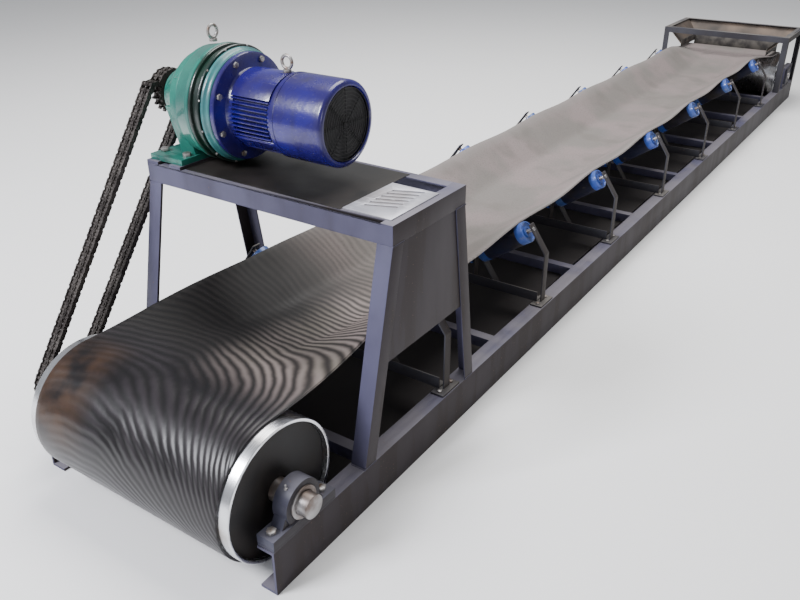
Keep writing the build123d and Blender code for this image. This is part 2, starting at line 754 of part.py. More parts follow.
def fasteners():
    """Every bolt with its nut, as separate solids."""
    shapes = []
    seat = channel_height + seat_thickness
    grip = seat + bearing_base_thickness - channel_height + channel_flange_thickness
    for side in (-1, 1):
        shapes += [Pos(side * x, y, seat + bearing_base_thickness) * hex_bolt(bearing_bolt_size, grip)
                   for x, y in bearing_bolts]
        foot_top = channel_height + foot_thickness
        shapes += [Pos(side * x, y, foot_top)
                   * hex_bolt(idler_bolt_size, foot_thickness + channel_flange_thickness)
                   for x, y in idler_bolts]
    foot_top = base_bar_top + foot_plate_thickness
    base_grip = foot_plate_thickness + base_bar_thickness
    shapes += [Pos(x, y, foot_top) * hex_bolt(base_bolt_size, base_grip)
               for x, y in base_bolt_places() if x > -half_width + base_bar_width]
    base_head = extrude(RegularPolygon(0.75 * base_bolt_size, 6, major_radius=False),
                        0.65 * base_bolt_size)
    base_shank = Pos(0, 0, -base_grip / 2) * Cylinder(base_bolt_size / 2, base_grip)
    shapes += [Pos(x, y, foot_top) * (base_head + base_shank)
               for x, y in base_bolt_places() if x < -half_width + base_bar_width]
    head = extrude(RegularPolygon(0.75 * flange_bolt_size, 6, major_radius=False),
                   0.65 * flange_bolt_size)
    shank = Pos(0, 0, -(body_x - adapter_x) / 2) * Cylinder(flange_bolt_size / 2, body_x - adapter_x)
    shapes += [Pos(body_x, y, z) * Rot(0, 90, 0) * (head + shank) for y, z in flange_bolt_places]
    return shapes


def take_up_frame():
    """The right-hand tail guide: two slide bars, two end plates and two lock nuts."""
    x0, x1 = flange_x - slide_bar_width / 2, flange_x + slide_bar_width / 2
    y1 = tail_y + block_length / 2 + block_to_end_plate
    y0 = tail_y - block_length / 2 - take_up_travel - block_to_end_plate
    top = channel_height + slide_bar_thickness + block_height + 2 * fit_gap
    lower = block(x0, x1, y0, y1, channel_height, channel_height + slide_bar_thickness)
    upper = block(x0, x1, y0, y1, top, top + slide_bar_thickness)
    front = block(x0, x1, y0 - end_plate_thickness, y0, channel_height, top + slide_bar_thickness)
    rear = block(x0, x1, y1, y1 + end_plate_thickness, channel_height, top + slide_bar_thickness)
    rear -= rod_y(flange_x, y1 - 1, y1 + end_plate_thickness + 1, screw_radius + bolt_gap, tail_z)
    nuts = []
    for y in (y1 - 18, y1 + end_plate_thickness):
        hexagon = RegularPolygon(18, 6, major_radius=False) - Circle(screw_radius + bolt_gap)
        nut = Pos(flange_x, y + 18, tail_z) * extrude(Plane.XZ * hexagon, 18)
        nuts.append(nut)
    return [lower, upper, front, rear, *nuts]


def tail_bearing_block():
    """The right-hand sliding block, bored for the tail shaft, with its pulling screw."""
    z0 = channel_height + slide_bar_thickness + fit_gap
    shape = block(flange_x - 28, flange_x + 28, tail_y - block_length / 2,
                  tail_y + block_length / 2, z0, z0 + block_height)
    shape -= rod_x(flange_x - 30, flange_x + 30, tail_shaft_radius + running_gap, tail_y, tail_z)
    rear = tail_y + block_length / 2
    return shape + rod_y(flange_x, rear, rear + screw_reach, screw_radius, tail_z)


def hopper_outline():
    """The hopper's inside in X and Z: narrow at the throat, wide at the rim."""
    top = rim_height - post_thickness
    wide = half_width - post_size + 12
    return [(-throat_half_width, rear_plate_bottom), (throat_half_width, rear_plate_bottom),
            (throat_half_width, throat_height), (wide, top), (-wide, top),
            (-throat_half_width, throat_height)]


def hopper_plates():
    """The hopper's sloping side plates and its sloping rear plate."""
    y0 = tail_end - hopper_length + post_thickness
    y1 = tail_end - post_thickness
    top = rim_height - post_thickness
    wide = half_width - post_size + 12
    run = plate_thickness / sin(atan2(top - throat_height, wide - throat_half_width))
    side = plate_xz([(throat_half_width, throat_height), (wide, top), (wide + run, top),
                     (throat_half_width + run, throat_height)], y0, y1)
    rear = plate_yz([(y1 - plate_thickness, top), (y1, top),
                     (y1 - rear_plate_run + plate_thickness, rear_plate_bottom),
                     (y1 - rear_plate_run, rear_plate_bottom)], -half_width, half_width)
    rear &= plate_xz(hopper_outline(), y0 - 1, y1 + 1)
    return [*both_sides(side), rear]


def hopper_frame():
    """Four posts and the four rim angles on top of them."""
    y0, y1 = tail_end - hopper_length, tail_end
    rim_low = rim_height - post_size
    flat = rim_height - post_thickness
    pieces = []
    for y, face in ((y0, 1), (y1, -1)):
        near, far = sorted((y, y + face * post_size))
        thin_near, thin_far = sorted((y, y + face * post_thickness))
        post = block(half_width - post_thickness, half_width, near, far, channel_height, rim_low)
        post += block(half_width - post_size, half_width, thin_near, thin_far,
                      channel_height, rim_low)
        pieces += both_sides(post)
    side = block(half_width - post_thickness, half_width, y0, y1, rim_low, rim_height)
    side += block(half_width - post_size, half_width, y0, y1, flat, rim_height)
    places = [(half_width - post_size / 2, y0 + rim_bolt_inset),
              (half_width - post_size / 2, y1 - rim_bolt_inset)]
    side = drill(side, places, rim_bolt_radius, flat - 1, rim_height + 1)
    pieces += both_sides(side)
    reach = half_width - post_size
    wall = half_width - post_thickness
    for y, face in ((y0, 1), (y1, -1)):
        near, far = sorted((y, y + face * post_size))
        thin_near, thin_far = sorted((y, y + face * post_thickness))
        end = block(-reach, reach, near, far, flat, rim_height)
        end += block(-wall, wall, thin_near, thin_far, rim_low, flat)
        pieces.append(end)
    return pieces


def return_bracket(y):
    """The right-hand bracket of a return roller, standing on the channel's bottom flange."""
    x0 = half_width - channel_flange + 12
    plate = block(x0, x0 + bracket_thickness, y - 25, y + 25, channel_flange_thickness, return_top)
    return plate - rod_x(x0 - 1, x0 + bracket_thickness + 1, spindle_radius + bolt_gap, y, return_z)


# ---- the frame and everything fixed to it
right_channel = side_channel()
save("channel_right", right_channel)
save("channel_left", mirror(right_channel, about=Plane.YZ))
tie_ys = [head_end + 560, *(y + station_pitch / 2 for y in station_ys[:-1]),
          station_ys[-1] + 380, tail_end - tie_size]
save("cross_ties", *(cross_tie(y) for y in tie_ys))
save("head_bearing_housings", *both_sides(pillow_block(), bearing_seat_plate()))
save("stand_legs", *both_sides(stand_leg("front"), stand_leg("rear")))
save("stand_top_rails", *stand_rails())
save("stand_side_panel", slanted_panel())
save("stand_slotted_plate", slotted_plate())
save("reducer_housing", reducer_housing())
save("reducer_ring_housing", tube_x(ring_x, adapter_x, ring_radius, ring_bore, reducer_y, reducer_z))
adapter = tube_x(adapter_x, motor_x, adapter_radius, 60, reducer_y, reducer_z)
save("motor_adapter_flange", flange_holes(adapter))
save("motor_housing", *motor_housing())
stator_radius = body_radius - body_wall - fit_gap
rotor_radius = 82
save("motor_stator", tube_x(body_x + 20, cowl_x - 34, stator_radius, rotor_radius + 0.8,
                            reducer_y, reducer_z))
save("motor_fan_cowl", fan_cowl())
save("motor_terminal_box", *terminal_box())
save("eye_bolts", eye_bolt(body_x + 190, reducer_z + body_radius),
     eye_bolt(ring_x + 15, reducer_z + ring_radius))
save("fasteners", *fasteners())
save("drive_chain", *drive_chain())
save("idler_frames", *(piece for y in station_ys for piece in idler_pieces(y)))
return_spindle = half_width - channel_flange + 12 + bracket_thickness + 6
save("roller_spindles", *(piece for y in station_ys for piece in spindle_pieces(y)),
     *(rod_x(-return_spindle, return_spindle, spindle_radius, y, return_z) for y in return_ys))
save("return_roller_brackets", *(piece for y in return_ys for piece in both_sides(return_bracket(y))))
save("take_up_frames", *both_sides(*take_up_frame()))
save("hopper_plates", *hopper_plates())
save("hopper_frame", *hopper_frame())
save("conveyor_belt", *conveyor_belt())

# ---- the head drum, which the chain turns
head_shaft_left = chain_x - 45
head_shaft_right = half_width + shaft_right_reach
save("head_drum_shell", tube_x(-drum_half, drum_half, head_radius, head_radius - shell_wall,
                               head_y, head_z))
save("head_drum_discs", *(drum_disc(side, head_radius, shaft_radius + 0.1, head_y, head_z)
                          for side in (-1, 1)))
save("head_shaft", rod_x(head_shaft_left, head_shaft_right, shaft_radius, head_y, head_z))
save("head_bearing_inner_rings", *both_sides(tube_x(
    flange_x - bearing_base_width / 2, flange_x + bearing_base_width / 2, inner_ring_radius,
    shaft_radius + 0.1, head_y, head_z)))
save("driven_sprocket", sprocket(head_teeth, head_phase, shaft_radius + 0.1, head_y, head_z))

# ---- the reducer's output and the motor's rotor
output_shaft = rod_x(chain_x - 35, barrel_x + 10, output_shaft_radius, reducer_y, reducer_z)
output_shaft += rod_x(barrel_x + 10, ring_x - 8, 120, reducer_y, reducer_z)
save("reducer_output_shaft", output_shaft)
save("drive_sprocket", sprocket(reducer_teeth, reducer_phase, output_shaft_radius + 0.1,
                                reducer_y, reducer_z))
rotor = rod_x(adapter_x + 5, cowl_x + 112, motor_shaft_radius, reducer_y, reducer_z)
rotor += rod_x(body_x + 25, cowl_x - 39, rotor_radius, reducer_y, reducer_z)
save("motor_rotor", rotor)
save("motor_fan", motor_fan())

# ---- the tail drum and its sliding blocks
save("tail_bearing_blocks", *both_sides(tail_bearing_block()))
save("tail_drum", tube_x(-drum_half, drum_half, tail_radius, tail_radius - shell_wall,
                         tail_y, tail_z),
     *(drum_disc(side, tail_radius, tail_shaft_radius + 0.1, tail_y, tail_z) for side in (-1, 1)))
save("tail_shaft", rod_x(-half_width - 6, half_width + 6, tail_shaft_radius, tail_y, tail_z))

# ---- the rollers
middle_roller = roller(centre_roller_length, roller_radius, roller_wall)
wing_roller = roller(wing_roller_length, roller_radius, roller_wall)
wing_middle = wing_start + wing_roller_length / 2
for number, y in enumerate(station_ys, 1):
    save(f"idler_{number}_centre", Pos(0, y, axis_z) * middle_roller)
    save(f"idler_{number}_right", wing_place(wing_middle, y, 1) * wing_roller)
    save(f"idler_{number}_left", wing_place(wing_middle, y, -1) * wing_roller)
return_roller = roller(belt_width + 50, return_radius, roller_wall)
for number, y in enumerate(return_ys, 1):
    save(f"return_roller_{number}", Pos(0, y, return_z) * return_roller)
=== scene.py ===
import json
from math import asin, atan2, cos, pi, radians, sin, sqrt, tan

import bpy
from mathutils import Matrix, Vector

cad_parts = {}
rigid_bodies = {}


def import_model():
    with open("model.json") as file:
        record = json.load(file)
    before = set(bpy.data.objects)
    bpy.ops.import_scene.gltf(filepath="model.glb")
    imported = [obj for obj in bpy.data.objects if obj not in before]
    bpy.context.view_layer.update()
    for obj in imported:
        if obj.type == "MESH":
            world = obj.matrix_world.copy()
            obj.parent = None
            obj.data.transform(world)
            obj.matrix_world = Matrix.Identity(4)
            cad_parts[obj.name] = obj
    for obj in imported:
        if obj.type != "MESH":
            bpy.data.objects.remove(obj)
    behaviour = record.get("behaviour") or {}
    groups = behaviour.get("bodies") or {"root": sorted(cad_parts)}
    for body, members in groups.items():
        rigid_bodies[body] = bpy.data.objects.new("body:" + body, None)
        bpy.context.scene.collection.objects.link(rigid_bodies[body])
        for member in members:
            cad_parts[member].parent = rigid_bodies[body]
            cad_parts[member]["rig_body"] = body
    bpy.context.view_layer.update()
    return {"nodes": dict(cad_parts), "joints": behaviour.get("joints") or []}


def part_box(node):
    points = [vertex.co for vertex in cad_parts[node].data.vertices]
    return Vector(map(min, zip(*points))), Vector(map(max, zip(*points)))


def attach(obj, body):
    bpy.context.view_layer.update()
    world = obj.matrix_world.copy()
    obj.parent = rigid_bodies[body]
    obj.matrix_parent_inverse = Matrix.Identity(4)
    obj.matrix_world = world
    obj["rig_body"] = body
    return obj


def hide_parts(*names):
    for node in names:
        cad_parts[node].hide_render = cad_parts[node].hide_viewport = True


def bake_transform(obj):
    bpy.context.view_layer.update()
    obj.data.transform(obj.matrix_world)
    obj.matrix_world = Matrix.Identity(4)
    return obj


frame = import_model()

# ---- Studio
# A pale floor, a bright even surround, and three soft lights: one high in front of the head end, a
# large one overhead and a weak one on the right.  The camera stands off the head end's right-hand
# corner, about 2 m up.
bpy.ops.object.camera_add(location=(1.960, -5.283, 2.067),
                          rotation=(radians(62.19), 0, radians(34.0)))
camera = bpy.context.object
camera.data.lens = 36.57
camera.data.clip_end = 200
bpy.context.scene.camera = camera


def soft_light(name, place, aim, size, energy, colour):
    """One square area light, turned towards the point that it lights."""
    bpy.ops.object.light_add(type="AREA", location=place)
    light = bpy.context.object
    light.name = name
    light.rotation_euler = (Vector(aim) - Vector(place)).to_track_quat("-Z", "Y").to_euler()
    light.data.size = size
    light.data.energy = energy
    light.data.color = colour


soft_light("key_light", (-2.6, -8.6, 6.0), (0.0, -3.0, 0.6), 2.6, 1050, (0.93, 0.94, 1.0))
soft_light("top_light", (-0.5, 0.5, 7.5), (0.0, 0.5, 0.3), 6.0, 900, (1.0, 0.99, 0.97))
soft_light("side_light", (6.5, -6.0, 3.0), (0.0, -2.6, 0.8), 2.0, 60, (1.0, 0.98, 0.96))
world = bpy.data.worlds.new("surround")
world.use_nodes = True
world.node_tree.nodes["Background"].inputs["Color"].default_value = (0.93, 0.95, 1.0, 1.0)
world.node_tree.nodes["Background"].inputs["Strength"].default_value = 0.42
bpy.context.scene.world = world


class Socket:
    """One output of a shader node; arithmetic on it adds the Math nodes it needs."""

    def __init__(self, tree, output):
        self.tree = tree
        self.output = output

    def node(self, kind, settings=None, inputs=None, output=0):
        """Add a node: its settings first, then values or links for its sockets."""
        made = self.tree.nodes.new("ShaderNode" + kind)
        for name, value in (settings or {}).items():
            if name == "stops":
                elements = made.color_ramp.elements
                while len(elements) < len(value):
                    elements.new(1.0)
                for element, (spot, colour) in zip(elements, value):
                    element.position = spot
                    element.color = (*colour, 1.0)
            else:
                setattr(made, name, value)
        for name, value in (inputs or {}).items():
            if isinstance(value, Socket):
                self.tree.links.new(value.output, made.inputs[name])
            elif isinstance(value, tuple) and len(made.inputs[name].default_value) == 4:
                made.inputs[name].default_value = (*value, 1.0)[:4]
            else:
                made.inputs[name].default_value = value
        return Socket(self.tree, made.outputs[output]) if made.outputs else None

    def maths(self, operation, *values):
        return self.node("Math", {"operation": operation}, dict(enumerate(values)))

    def __add__(self, other):
        return self.maths("ADD", self, other)

    def __sub__(self, other):
        return self.maths("SUBTRACT", self, other)

    def __rsub__(self, other):
        return self.maths("SUBTRACT", other, self)

    def __mul__(self, other):
        return self.maths("MULTIPLY", self, other)

    __radd__ = __add__
    __rmul__ = __mul__

    def fade(self, low, high):
        """0 at low, 1 at high, smooth between; low may be the larger."""
        return self.node("MapRange", {"interpolation_type": "SMOOTHSTEP"},
                         {"Value": self, "From Min": low, "From Max": high})

    def noise(self, scale, detail=4.0, stretch=(1.0, 1.0, 1.0)):
        """Cloudy noise on this place, squeezed along each axis by stretch."""
        spot = self.node("Mapping", None, {"Vector": self, "Scale": stretch})
        return self.node("TexNoise", None, {"Vector": spot, "Scale": scale, "Detail": detail})

    def mix(self, first, second, kind="MIX"):
        """Two colours mixed by this value."""
        settings = {"data_type": "RGBA", "blend_type": kind}
        return self.node("Mix", settings, {0: self, 6: first, 7: second}, 2)

    def part(self, axis):
        """One axis of this vector."""
        return self.node("SeparateXYZ", None, {"Vector": self}, axis)


def new_finish(name):
    """An empty material, and the Object coordinates that its patterns stand on."""
    material = bpy.data.materials.new(name)
    material.use_nodes = True
    material.node_tree.nodes.clear()
    coordinates = material.node_tree.nodes.new("ShaderNodeTexCoord")
    return material, Socket(material.node_tree, coordinates.outputs["Object"])


def close_finish(place, colour, roughness, metallic=0.0, coat=0.0, height=None, depth=0.001,
                 shine=0.5):
    """Feed the shader and the output; height, if given, becomes a bump of that depth."""
    inputs = {"Base Color": colour, "Roughness": roughness, "Metallic": metallic,
              "Coat Weight": coat, "Specular IOR Level": shine}
    if height is not None:
        inputs["Normal"] = place.node("Bump", None, {"Strength": 1.0, "Distance": depth,
                                                     "Height": height})
    place.node("OutputMaterial", None, {"Surface": place.node("BsdfPrincipled", None, inputs)})


floor_size = 120
floor_drop = 0.0005
floor_finish, place = new_finish("pale_floor")
cloud = place.noise(0.6, 2.0)
close_finish(place, cloud.mix((0.86, 0.86, 0.86), (0.90, 0.90, 0.90)), 0.85)
bpy.ops.mesh.primitive_plane_add(size=floor_size, location=(0, 0, -floor_drop))
floor = bpy.context.object
floor.name = "floor"
floor.data.materials.append(floor_finish)


# ---- Side channels, cross ties and take-up guides
# Rolled steel channels with welded ties, brush-painted blue-grey and left outdoors: streaks of brown
# grime, painted shade in the same dark brown on every face turned to +X, pale dust on what faces up,
# chips where it is handled.
def only(piece):
    """Deselect everything and make this piece the one that operators act on."""
    bpy.ops.object.select_all(action="DESELECT")
    piece.select_set(True)
    bpy.context.view_layer.objects.active = piece


def rolled_edge(piece, width, segments=2, angle=30):
    """Round the edges that turn by more than an angle in degrees."""
    only(piece)
    edge = piece.modifiers.new("edge", "BEVEL")
    edge.width = width
    edge.segments = segments
    edge.limit_method = "ANGLE"
    edge.angle_limit = radians(angle)
    bpy.ops.object.modifier_apply(modifier="edge")


def rounded(node, material, width, segments=2):
    """A copy of a CAD node with joined flats and rolled edges, riding where the node does."""
    source = frame["nodes"][node]
    piece = bpy.data.objects.new(node + "_finished", source.data.copy())
    bpy.context.scene.collection.objects.link(piece)
    only(piece)
    bpy.ops.object.mode_set(mode="EDIT")
    bpy.ops.mesh.select_all(action="SELECT")
    bpy.ops.mesh.remove_doubles(threshold=0.00002)
    bpy.ops.mesh.dissolve_limited(angle_limit=radians(1.5))
    bpy.ops.object.mode_set(mode="OBJECT")
    if width:
        rolled_edge(piece, width, segments, 35)
    bpy.ops.object.shade_smooth_by_angle(angle=radians(38))
    piece.data.materials.clear()
    piece.data.materials.append(material)
    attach(piece, source["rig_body"])
    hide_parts(node)
    return piece


def facing(place, axis):
    """How far the surface faces along an axis of the conveyor."""
    return place.node("NewGeometry", None, None, "Normal").part(axis)


def weathered_paint(name, colour, shade, grime_and_shade_colour, dust, dusty, roughness):
    """Brushed paint: cloudy colour, brown grime streaks, painted shade in the grime colour on faces
    turned to +X, dust on top, chips.
    """
    material, place = new_finish(name)
    clouds = place.noise(3.0, 6.0)
    streaks = place.noise(9.0, 5.0, (1.0, 1.0, 0.18))
    specks = place.noise(140.0, 3.0)
    paint = clouds.fade(0.35, 0.7).mix(colour, shade)
    # Painted shade: faces turned towards +X are darkened towards the grime colour, as if in shadow; the
    # streaks below add real grime.
    outer = facing(place, 0).fade(0.5, 0.95)
    grime_and_shade = outer * 0.9 + streaks.fade(0.5, 0.75) * 0.4
    paint = grime_and_shade.maths("MINIMUM", grime_and_shade, 0.95).mix(paint, grime_and_shade_colour)
    settled = facing(place, 2).fade(0.6, 0.98) * clouds.fade(0.3, 0.6) * dusty
    paint = settled.mix(paint, dust)
    chips = specks.fade(0.69, 0.72) * streaks.fade(0.45, 0.6)
    paint = chips.mix(paint, (0.16, 0.09, 0.06))
    rough = streaks * 0.25 + roughness + settled * 0.2 + outer * 0.15
    close_finish(place, paint, rough, 0.0, 0.0, clouds * 0.5 + specks * 0.25 - chips * 0.4, 0.0006,
                 0.28)
    return material


frame_paint = weathered_paint("frame_paint", (0.085, 0.083, 0.138), (0.055, 0.052, 0.088),
                              (0.022, 0.0155, 0.0135), (0.22, 0.205, 0.225), 0.7, 0.36)
for node in ("channel_left", "channel_right"):
    rounded(node, frame_paint, 0.0022, 3)
rounded("cross_ties", frame_paint, 0.0012)
rounded("take_up_frames", frame_paint, 0.0012)

# ---- Drive stand
# Four leaning angle legs welded to a frame of angles, two machined bars on top for the reducer,
# a flat sheet between the right-hand legs and a loose slotted plate of bare steel.  A shallow
# near-black sheet laid between the rails under the motor is painted shade: it darkens the space there.
rounded("stand_legs", frame_paint, 0.0016)
rounded("stand_top_rails", frame_paint, 0.0016)
rounded("stand_side_panel", frame_paint, 0.0008)
bare_plate, place = new_finish("bare_plate")
scuffs = place.noise(60.0, 6.0, (0.25, 1.0, 1.0))
smears = place.noise(7.0, 4.0)
plate_colour = smears.fade(0.35, 0.7).mix((0.50, 0.50, 0.55), (0.34, 0.32, 0.33))
close_finish(place, scuffs.fade(0.6, 0.75).mix(plate_colour, (0.62, 0.62, 0.65)),
             scuffs * 0.3 + 0.28, 0.55, 0.0, scuffs, 0.0004)
rounded("stand_slotted_plate", bare_plate, 0.0006)


# Painted shade: a near-black sheet with faint mottling, laid between the rails under the motor to
# darken the space there.
painted_shade_tray, place = new_finish("painted_shade_tray")
mottle = place.noise(5.0, 5.0)
tray_colour = mottle.fade(0.4, 0.7).mix((0.0085, 0.0075, 0.0070), (0.024, 0.020, 0.018))
close_finish(place, tray_colour, mottle * 0.5 + 0.25, 0.0, 0.0, mottle, 0.0008, 0.35)
tray_height = 1.0573
tray_thickness = 0.0018
tray_rim = 0.012
tray_hollow = 0.0012
tray_to_rails = 0.022
rails_low, rails_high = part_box("stand_top_rails")
tray_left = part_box("reducer_ring_housing")[0].x + 0.003
tray_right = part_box("stand_slotted_plate")[0].x - 0.002
tray_middle = ((tray_left + tray_right) / 2, (rails_low.y + rails_high.y) / 2, tray_height)


def pick(piece, vertices=None, faces=None):
    """Open a piece for editing, with only the wanted vertices or faces selected."""
    only(piece)
    bpy.ops.object.mode_set(mode="EDIT")
    bpy.ops.mesh.select_all(action="DESELECT")
    bpy.ops.object.mode_set(mode="OBJECT")
    for vertex in piece.data.vertices if vertices else ():
        vertex.select = vertices(vertex.co)
    for face in piece.data.polygons if faces else ():
        face.select = faces(face.normal)
    bpy.ops.object.mode_set(mode="EDIT")


bpy.ops.mesh.primitive_cube_add(size=1, location=tray_middle)
tray = bpy.context.object
tray.name = "shade_tray"
tray.scale = (tray_right - tray_left, rails_high.y - rails_low.y - 2 * tray_to_rails, tray_thickness)
bpy.ops.object.transform_apply()
pick(tray, faces=lambda normal: normal.z > 0.9)
bpy.ops.mesh.inset(thickness=tray_rim, depth=-tray_hollow)
bpy.ops.object.mode_set(mode="OBJECT")
rolled_edge(tray, 0.0004)
bpy.ops.object.shade_smooth_by_angle(angle=radians(35))
tray.data.materials.append(painted_shade_tray)
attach(tray, "frame")


def joined(pieces, name):
    """Join pieces into the first one, under one name."""
    only(pieces[0])
    for piece in pieces:
        piece.select_set(True)
    bpy.ops.object.join()
    pieces[0].name = name
    return pieces[0]


def weld_bead(start, end, radius):
    """A straight run of rippled weld."""
    beads = []
    start, end = Vector(start), Vector(end)
    count = max(2, round((end - start).length / (radius * 1.1)))
    for i in range(count + 1):
        bpy.ops.mesh.primitive_uv_sphere_add(segments=8, ring_count=5, radius=radius,
                                             location=start.lerp(end, i / count))
        beads.append(bpy.context.object)
    piece = joined(beads, "weld_bead")
    bpy.ops.object.transform_apply()
    bpy.ops.object.shade_smooth()
    piece.data.materials.append(frame_paint)
    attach(piece, "frame")


foot_bead = 0.0035
top_bead = 0.003
bead_length = 0.065
return_length = 0.060
bead_offset = 0.002
legs_low, legs_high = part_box("stand_legs")
for side in (-1, 1):
    face = side * legs_high.x
    for y in (legs_low.y, legs_high.y):
        inward = 1 if y < (legs_low.y + legs_high.y) / 2 else -1
        weld_bead((face, y, legs_low.z), (face, y + inward * bead_length, legs_low.z), foot_bead)
        outside = y - inward * bead_offset
        weld_bead((face, outside, legs_low.z), (face - side * return_length, outside, legs_low.z),
                  foot_bead)
    for y, inward in ((rails_low.y, 1), (rails_high.y, -1)):
        weld_bead((face, y, legs_high.z), (face, y + inward * bead_length, legs_high.z), top_bead)

# ---- Idler stations
# Pressed and bent steel stands bolted to the channels, dull dark grey with dust, which hold the
# flattened ends of three turned spindles each.
idler_paint = weathered_paint("idler_paint", (0.050, 0.050, 0.062), (0.030, 0.028, 0.034),
                              (0.030, 0.024, 0.021), (0.20, 0.185, 0.17), 0.7, 0.42)
rounded("idler_frames", idler_paint, 0.001)
rounded("return_roller_brackets", idler_paint, 0.001)
turned_steel, place = new_finish("turned_steel")
rings = place.noise(900.0, 2.0, (1.0, 0.03, 0.03))
stain = place.noise(14.0, 5.0)
steel_colour = stain.fade(0.35, 0.7).mix((0.34, 0.33, 0.33), (0.14, 0.11, 0.095))
close_finish(place, steel_colour, rings * 0.15 + stain * 0.35 + 0.18, 0.9, 0.0, rings, 0.0002)
rounded("roller_spindles", turned_steel, 0.0015)

# ---- Rollers
# Welded steel tubes with pressed end caps and labyrinth seals: blue enamel on the ends, and the tube
# between the ends near-black navy as painted shade, with a few rubbed spots.  Rollers of one length are
# alike.
roller_paint, place = new_finish("roller_blue")
rub = place.noise(30.0, 5.0)
film = place.noise(5.0, 4.0)
roller_colour = film.fade(0.3, 0.7).mix((0.035, 0.085, 0.42), (0.05, 0.10, 0.27))
roller_colour = rub.fade(0.62, 0.75).mix(roller_colour, (0.20, 0.19, 0.20))
close_finish(place, roller_colour, rub * 0.3 + 0.25, 0.1, 0.25, rub, 0.0003)
tube_shade_finish, place = new_finish("roller_tube_shade")
rub = place.noise(26.0, 6.0)
film = place.noise(6.0, 4.0)
# Painted shade: the tube between the blue ends is near-black navy, as if in the shadow under the belt;
# the pale spots are rubbed wear.
tube_colour = film.fade(0.35, 0.7).mix((0.011, 0.014, 0.040), (0.022, 0.018, 0.018))
tube_colour = rub.fade(0.62, 0.75).mix(tube_colour, (0.060, 0.050, 0.046))
close_finish(place, tube_colour, rub * 0.3 + 0.3, 0.2, 0.0, rub, 0.0003)


blue_end = 0.045
spindle_bore = 0.0103


def lathe(name, profile, steps=48, axis_at=(0.0, 0.0)):
    """Draw a closed outline of (x, radius) points by extruding, and spin it about a line along X."""
    bpy.ops.mesh.primitive_plane_add(size=1)
    piece = bpy.context.object
    piece.name = name
    piece.data.name = name
    only(piece)
    bpy.ops.object.mode_set(mode="EDIT")
    bpy.ops.mesh.select_all(action="SELECT")
    bpy.ops.mesh.merge(type="CENTER")
    at = Vector((profile[0][0], axis_at[0], axis_at[1] + profile[0][1]))
    bpy.ops.transform.translate(value=at)
    for x, radius in [*profile[1:], profile[0]]:
        onward = Vector((x, axis_at[0], axis_at[1] + radius)) - at
        bpy.ops.mesh.extrude_region_move(TRANSFORM_OT_translate={"value": onward})
        at += onward
    bpy.ops.mesh.select_all(action="SELECT")
    bpy.ops.mesh.remove_doubles(threshold=0.00001)
    bpy.ops.mesh.spin(steps=steps, angle=2 * pi, center=(0, *axis_at), axis=(1, 0, 0))
    bpy.ops.mesh.select_all(action="SELECT")
    bpy.ops.mesh.remove_doubles(threshold=0.00001)
    bpy.ops.mesh.normals_make_consistent(inside=False)
    bpy.ops.object.mode_set(mode="OBJECT")
    bpy.ops.object.shade_smooth_by_angle(angle=radians(38))
    return piece


def roller_profile(half, radius):
    """Half outline mirrored: rolled tube end, dished cap, seal ring and spindle bore."""
    right = [(half - blue_end, radius), (half - 0.004, radius), (half - 0.0012, radius - 0.0012),
             (half, radius - 0.004), (half, radius - 0.0065), (half - 0.006, radius - 0.009),
             (half - 0.010, radius * 0.62), (half - 0.010, radius * 0.52),
             (half - 0.002, radius * 0.49), (half - 0.002, radius * 0.36),
             (half - 0.005, radius * 0.34), (half - 0.005, spindle_bore)]
    left = [(-x, r) for x, r in reversed(right)]
    return right + left


def copied(source, name, placing):
    """A copy of a finished shape with its own mesh, put in its place."""
    piece = bpy.data.objects.new(name, source.data.copy())
    bpy.context.scene.collection.objects.link(piece)
    piece.data.transform(placing)
    return piece


roller_kinds = {}
roller_joints = {joint["child"]: joint for joint in frame["joints"] if "roller" in joint["child"]
                 or "idler" in joint["child"]}
for node, joint in roller_joints.items():
    low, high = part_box(node)
    axis = Vector(joint["axis"])
    radius = (high.y - low.y) / 2
    across = high.x - low.x - 2 * radius * abs(axis.z)
    half = across / axis.x / 2
    kind = (round(half, 4), round(radius, 4))
    if kind not in roller_kinds:
        roller = lathe("roller", roller_profile(half, radius), 40)
        roller.data.materials.append(roller_paint)
        roller.data.materials.append(tube_shade_finish)
        for face in roller.data.polygons:
            face.material_index = 1 if abs(face.center.x) < half - blue_end else 0
        roller_kinds[kind] = roller
    turn = axis.to_track_quat("X", "Z").to_matrix().to_4x4()
    middle = (low + high) / 2
    piece = copied(roller_kinds[kind], node + "_finished", Matrix.Translation(middle) @ turn)
    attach(piece, joint["child"])
    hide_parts(node)
for roller in roller_kinds.values():
    bpy.data.objects.remove(roller)

# ---- Belt
# One endless rubber belt, vulcanised into a loop.  It lies flat over the drums, is bent into a
# trough by the idlers and sags a little between them.  Its face is polished black and rippled at
# the head, and grey with dust along the trough.
belt_gap = 0.0003
belt_thickness = 0.010
belt_half = 0.45
flat_half = 0.165
corner_radius = 0.10
belt_sag = 0.006
sag_opening = radians(2.2)
columns = 36
top_rows = 210
tail_rows = 24
head_rows = 32
low_row_length = 0.12
drum_low, drum_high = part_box("head_drum_shell")
tail_low, tail_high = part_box("tail_drum")
head_radius = (drum_high.z - drum_low.z) / 2 + belt_gap
tail_radius = (tail_high.z - tail_low.z) / 2 + belt_gap
head_axis = (drum_low + drum_high) / 2
tail_axis = (tail_low + tail_high) / 2
stations = [sum(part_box(f"idler_{i}_centre"), Vector()).y / 2 for i in range(1, 8)]
returns = [sum(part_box(f"return_roller_{i}"), Vector()).y / 2 for i in (1, 2)]
trough_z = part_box("idler_1_centre")[1].z + belt_gap
return_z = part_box("return_roller_1")[1].z + belt_gap
trough_bend = radians(35)
trough_start = stations[0] - 0.04
trough_end = stations[-1] + 0.04
head_flat = head_axis.y + 0.06
tail_flat = tail_axis.y - 0.10


def ease(value):
    """Smooth 0 to 1."""
    value = max(0.0, min(1.0, value))
    return value * value * (3 - 2 * value)


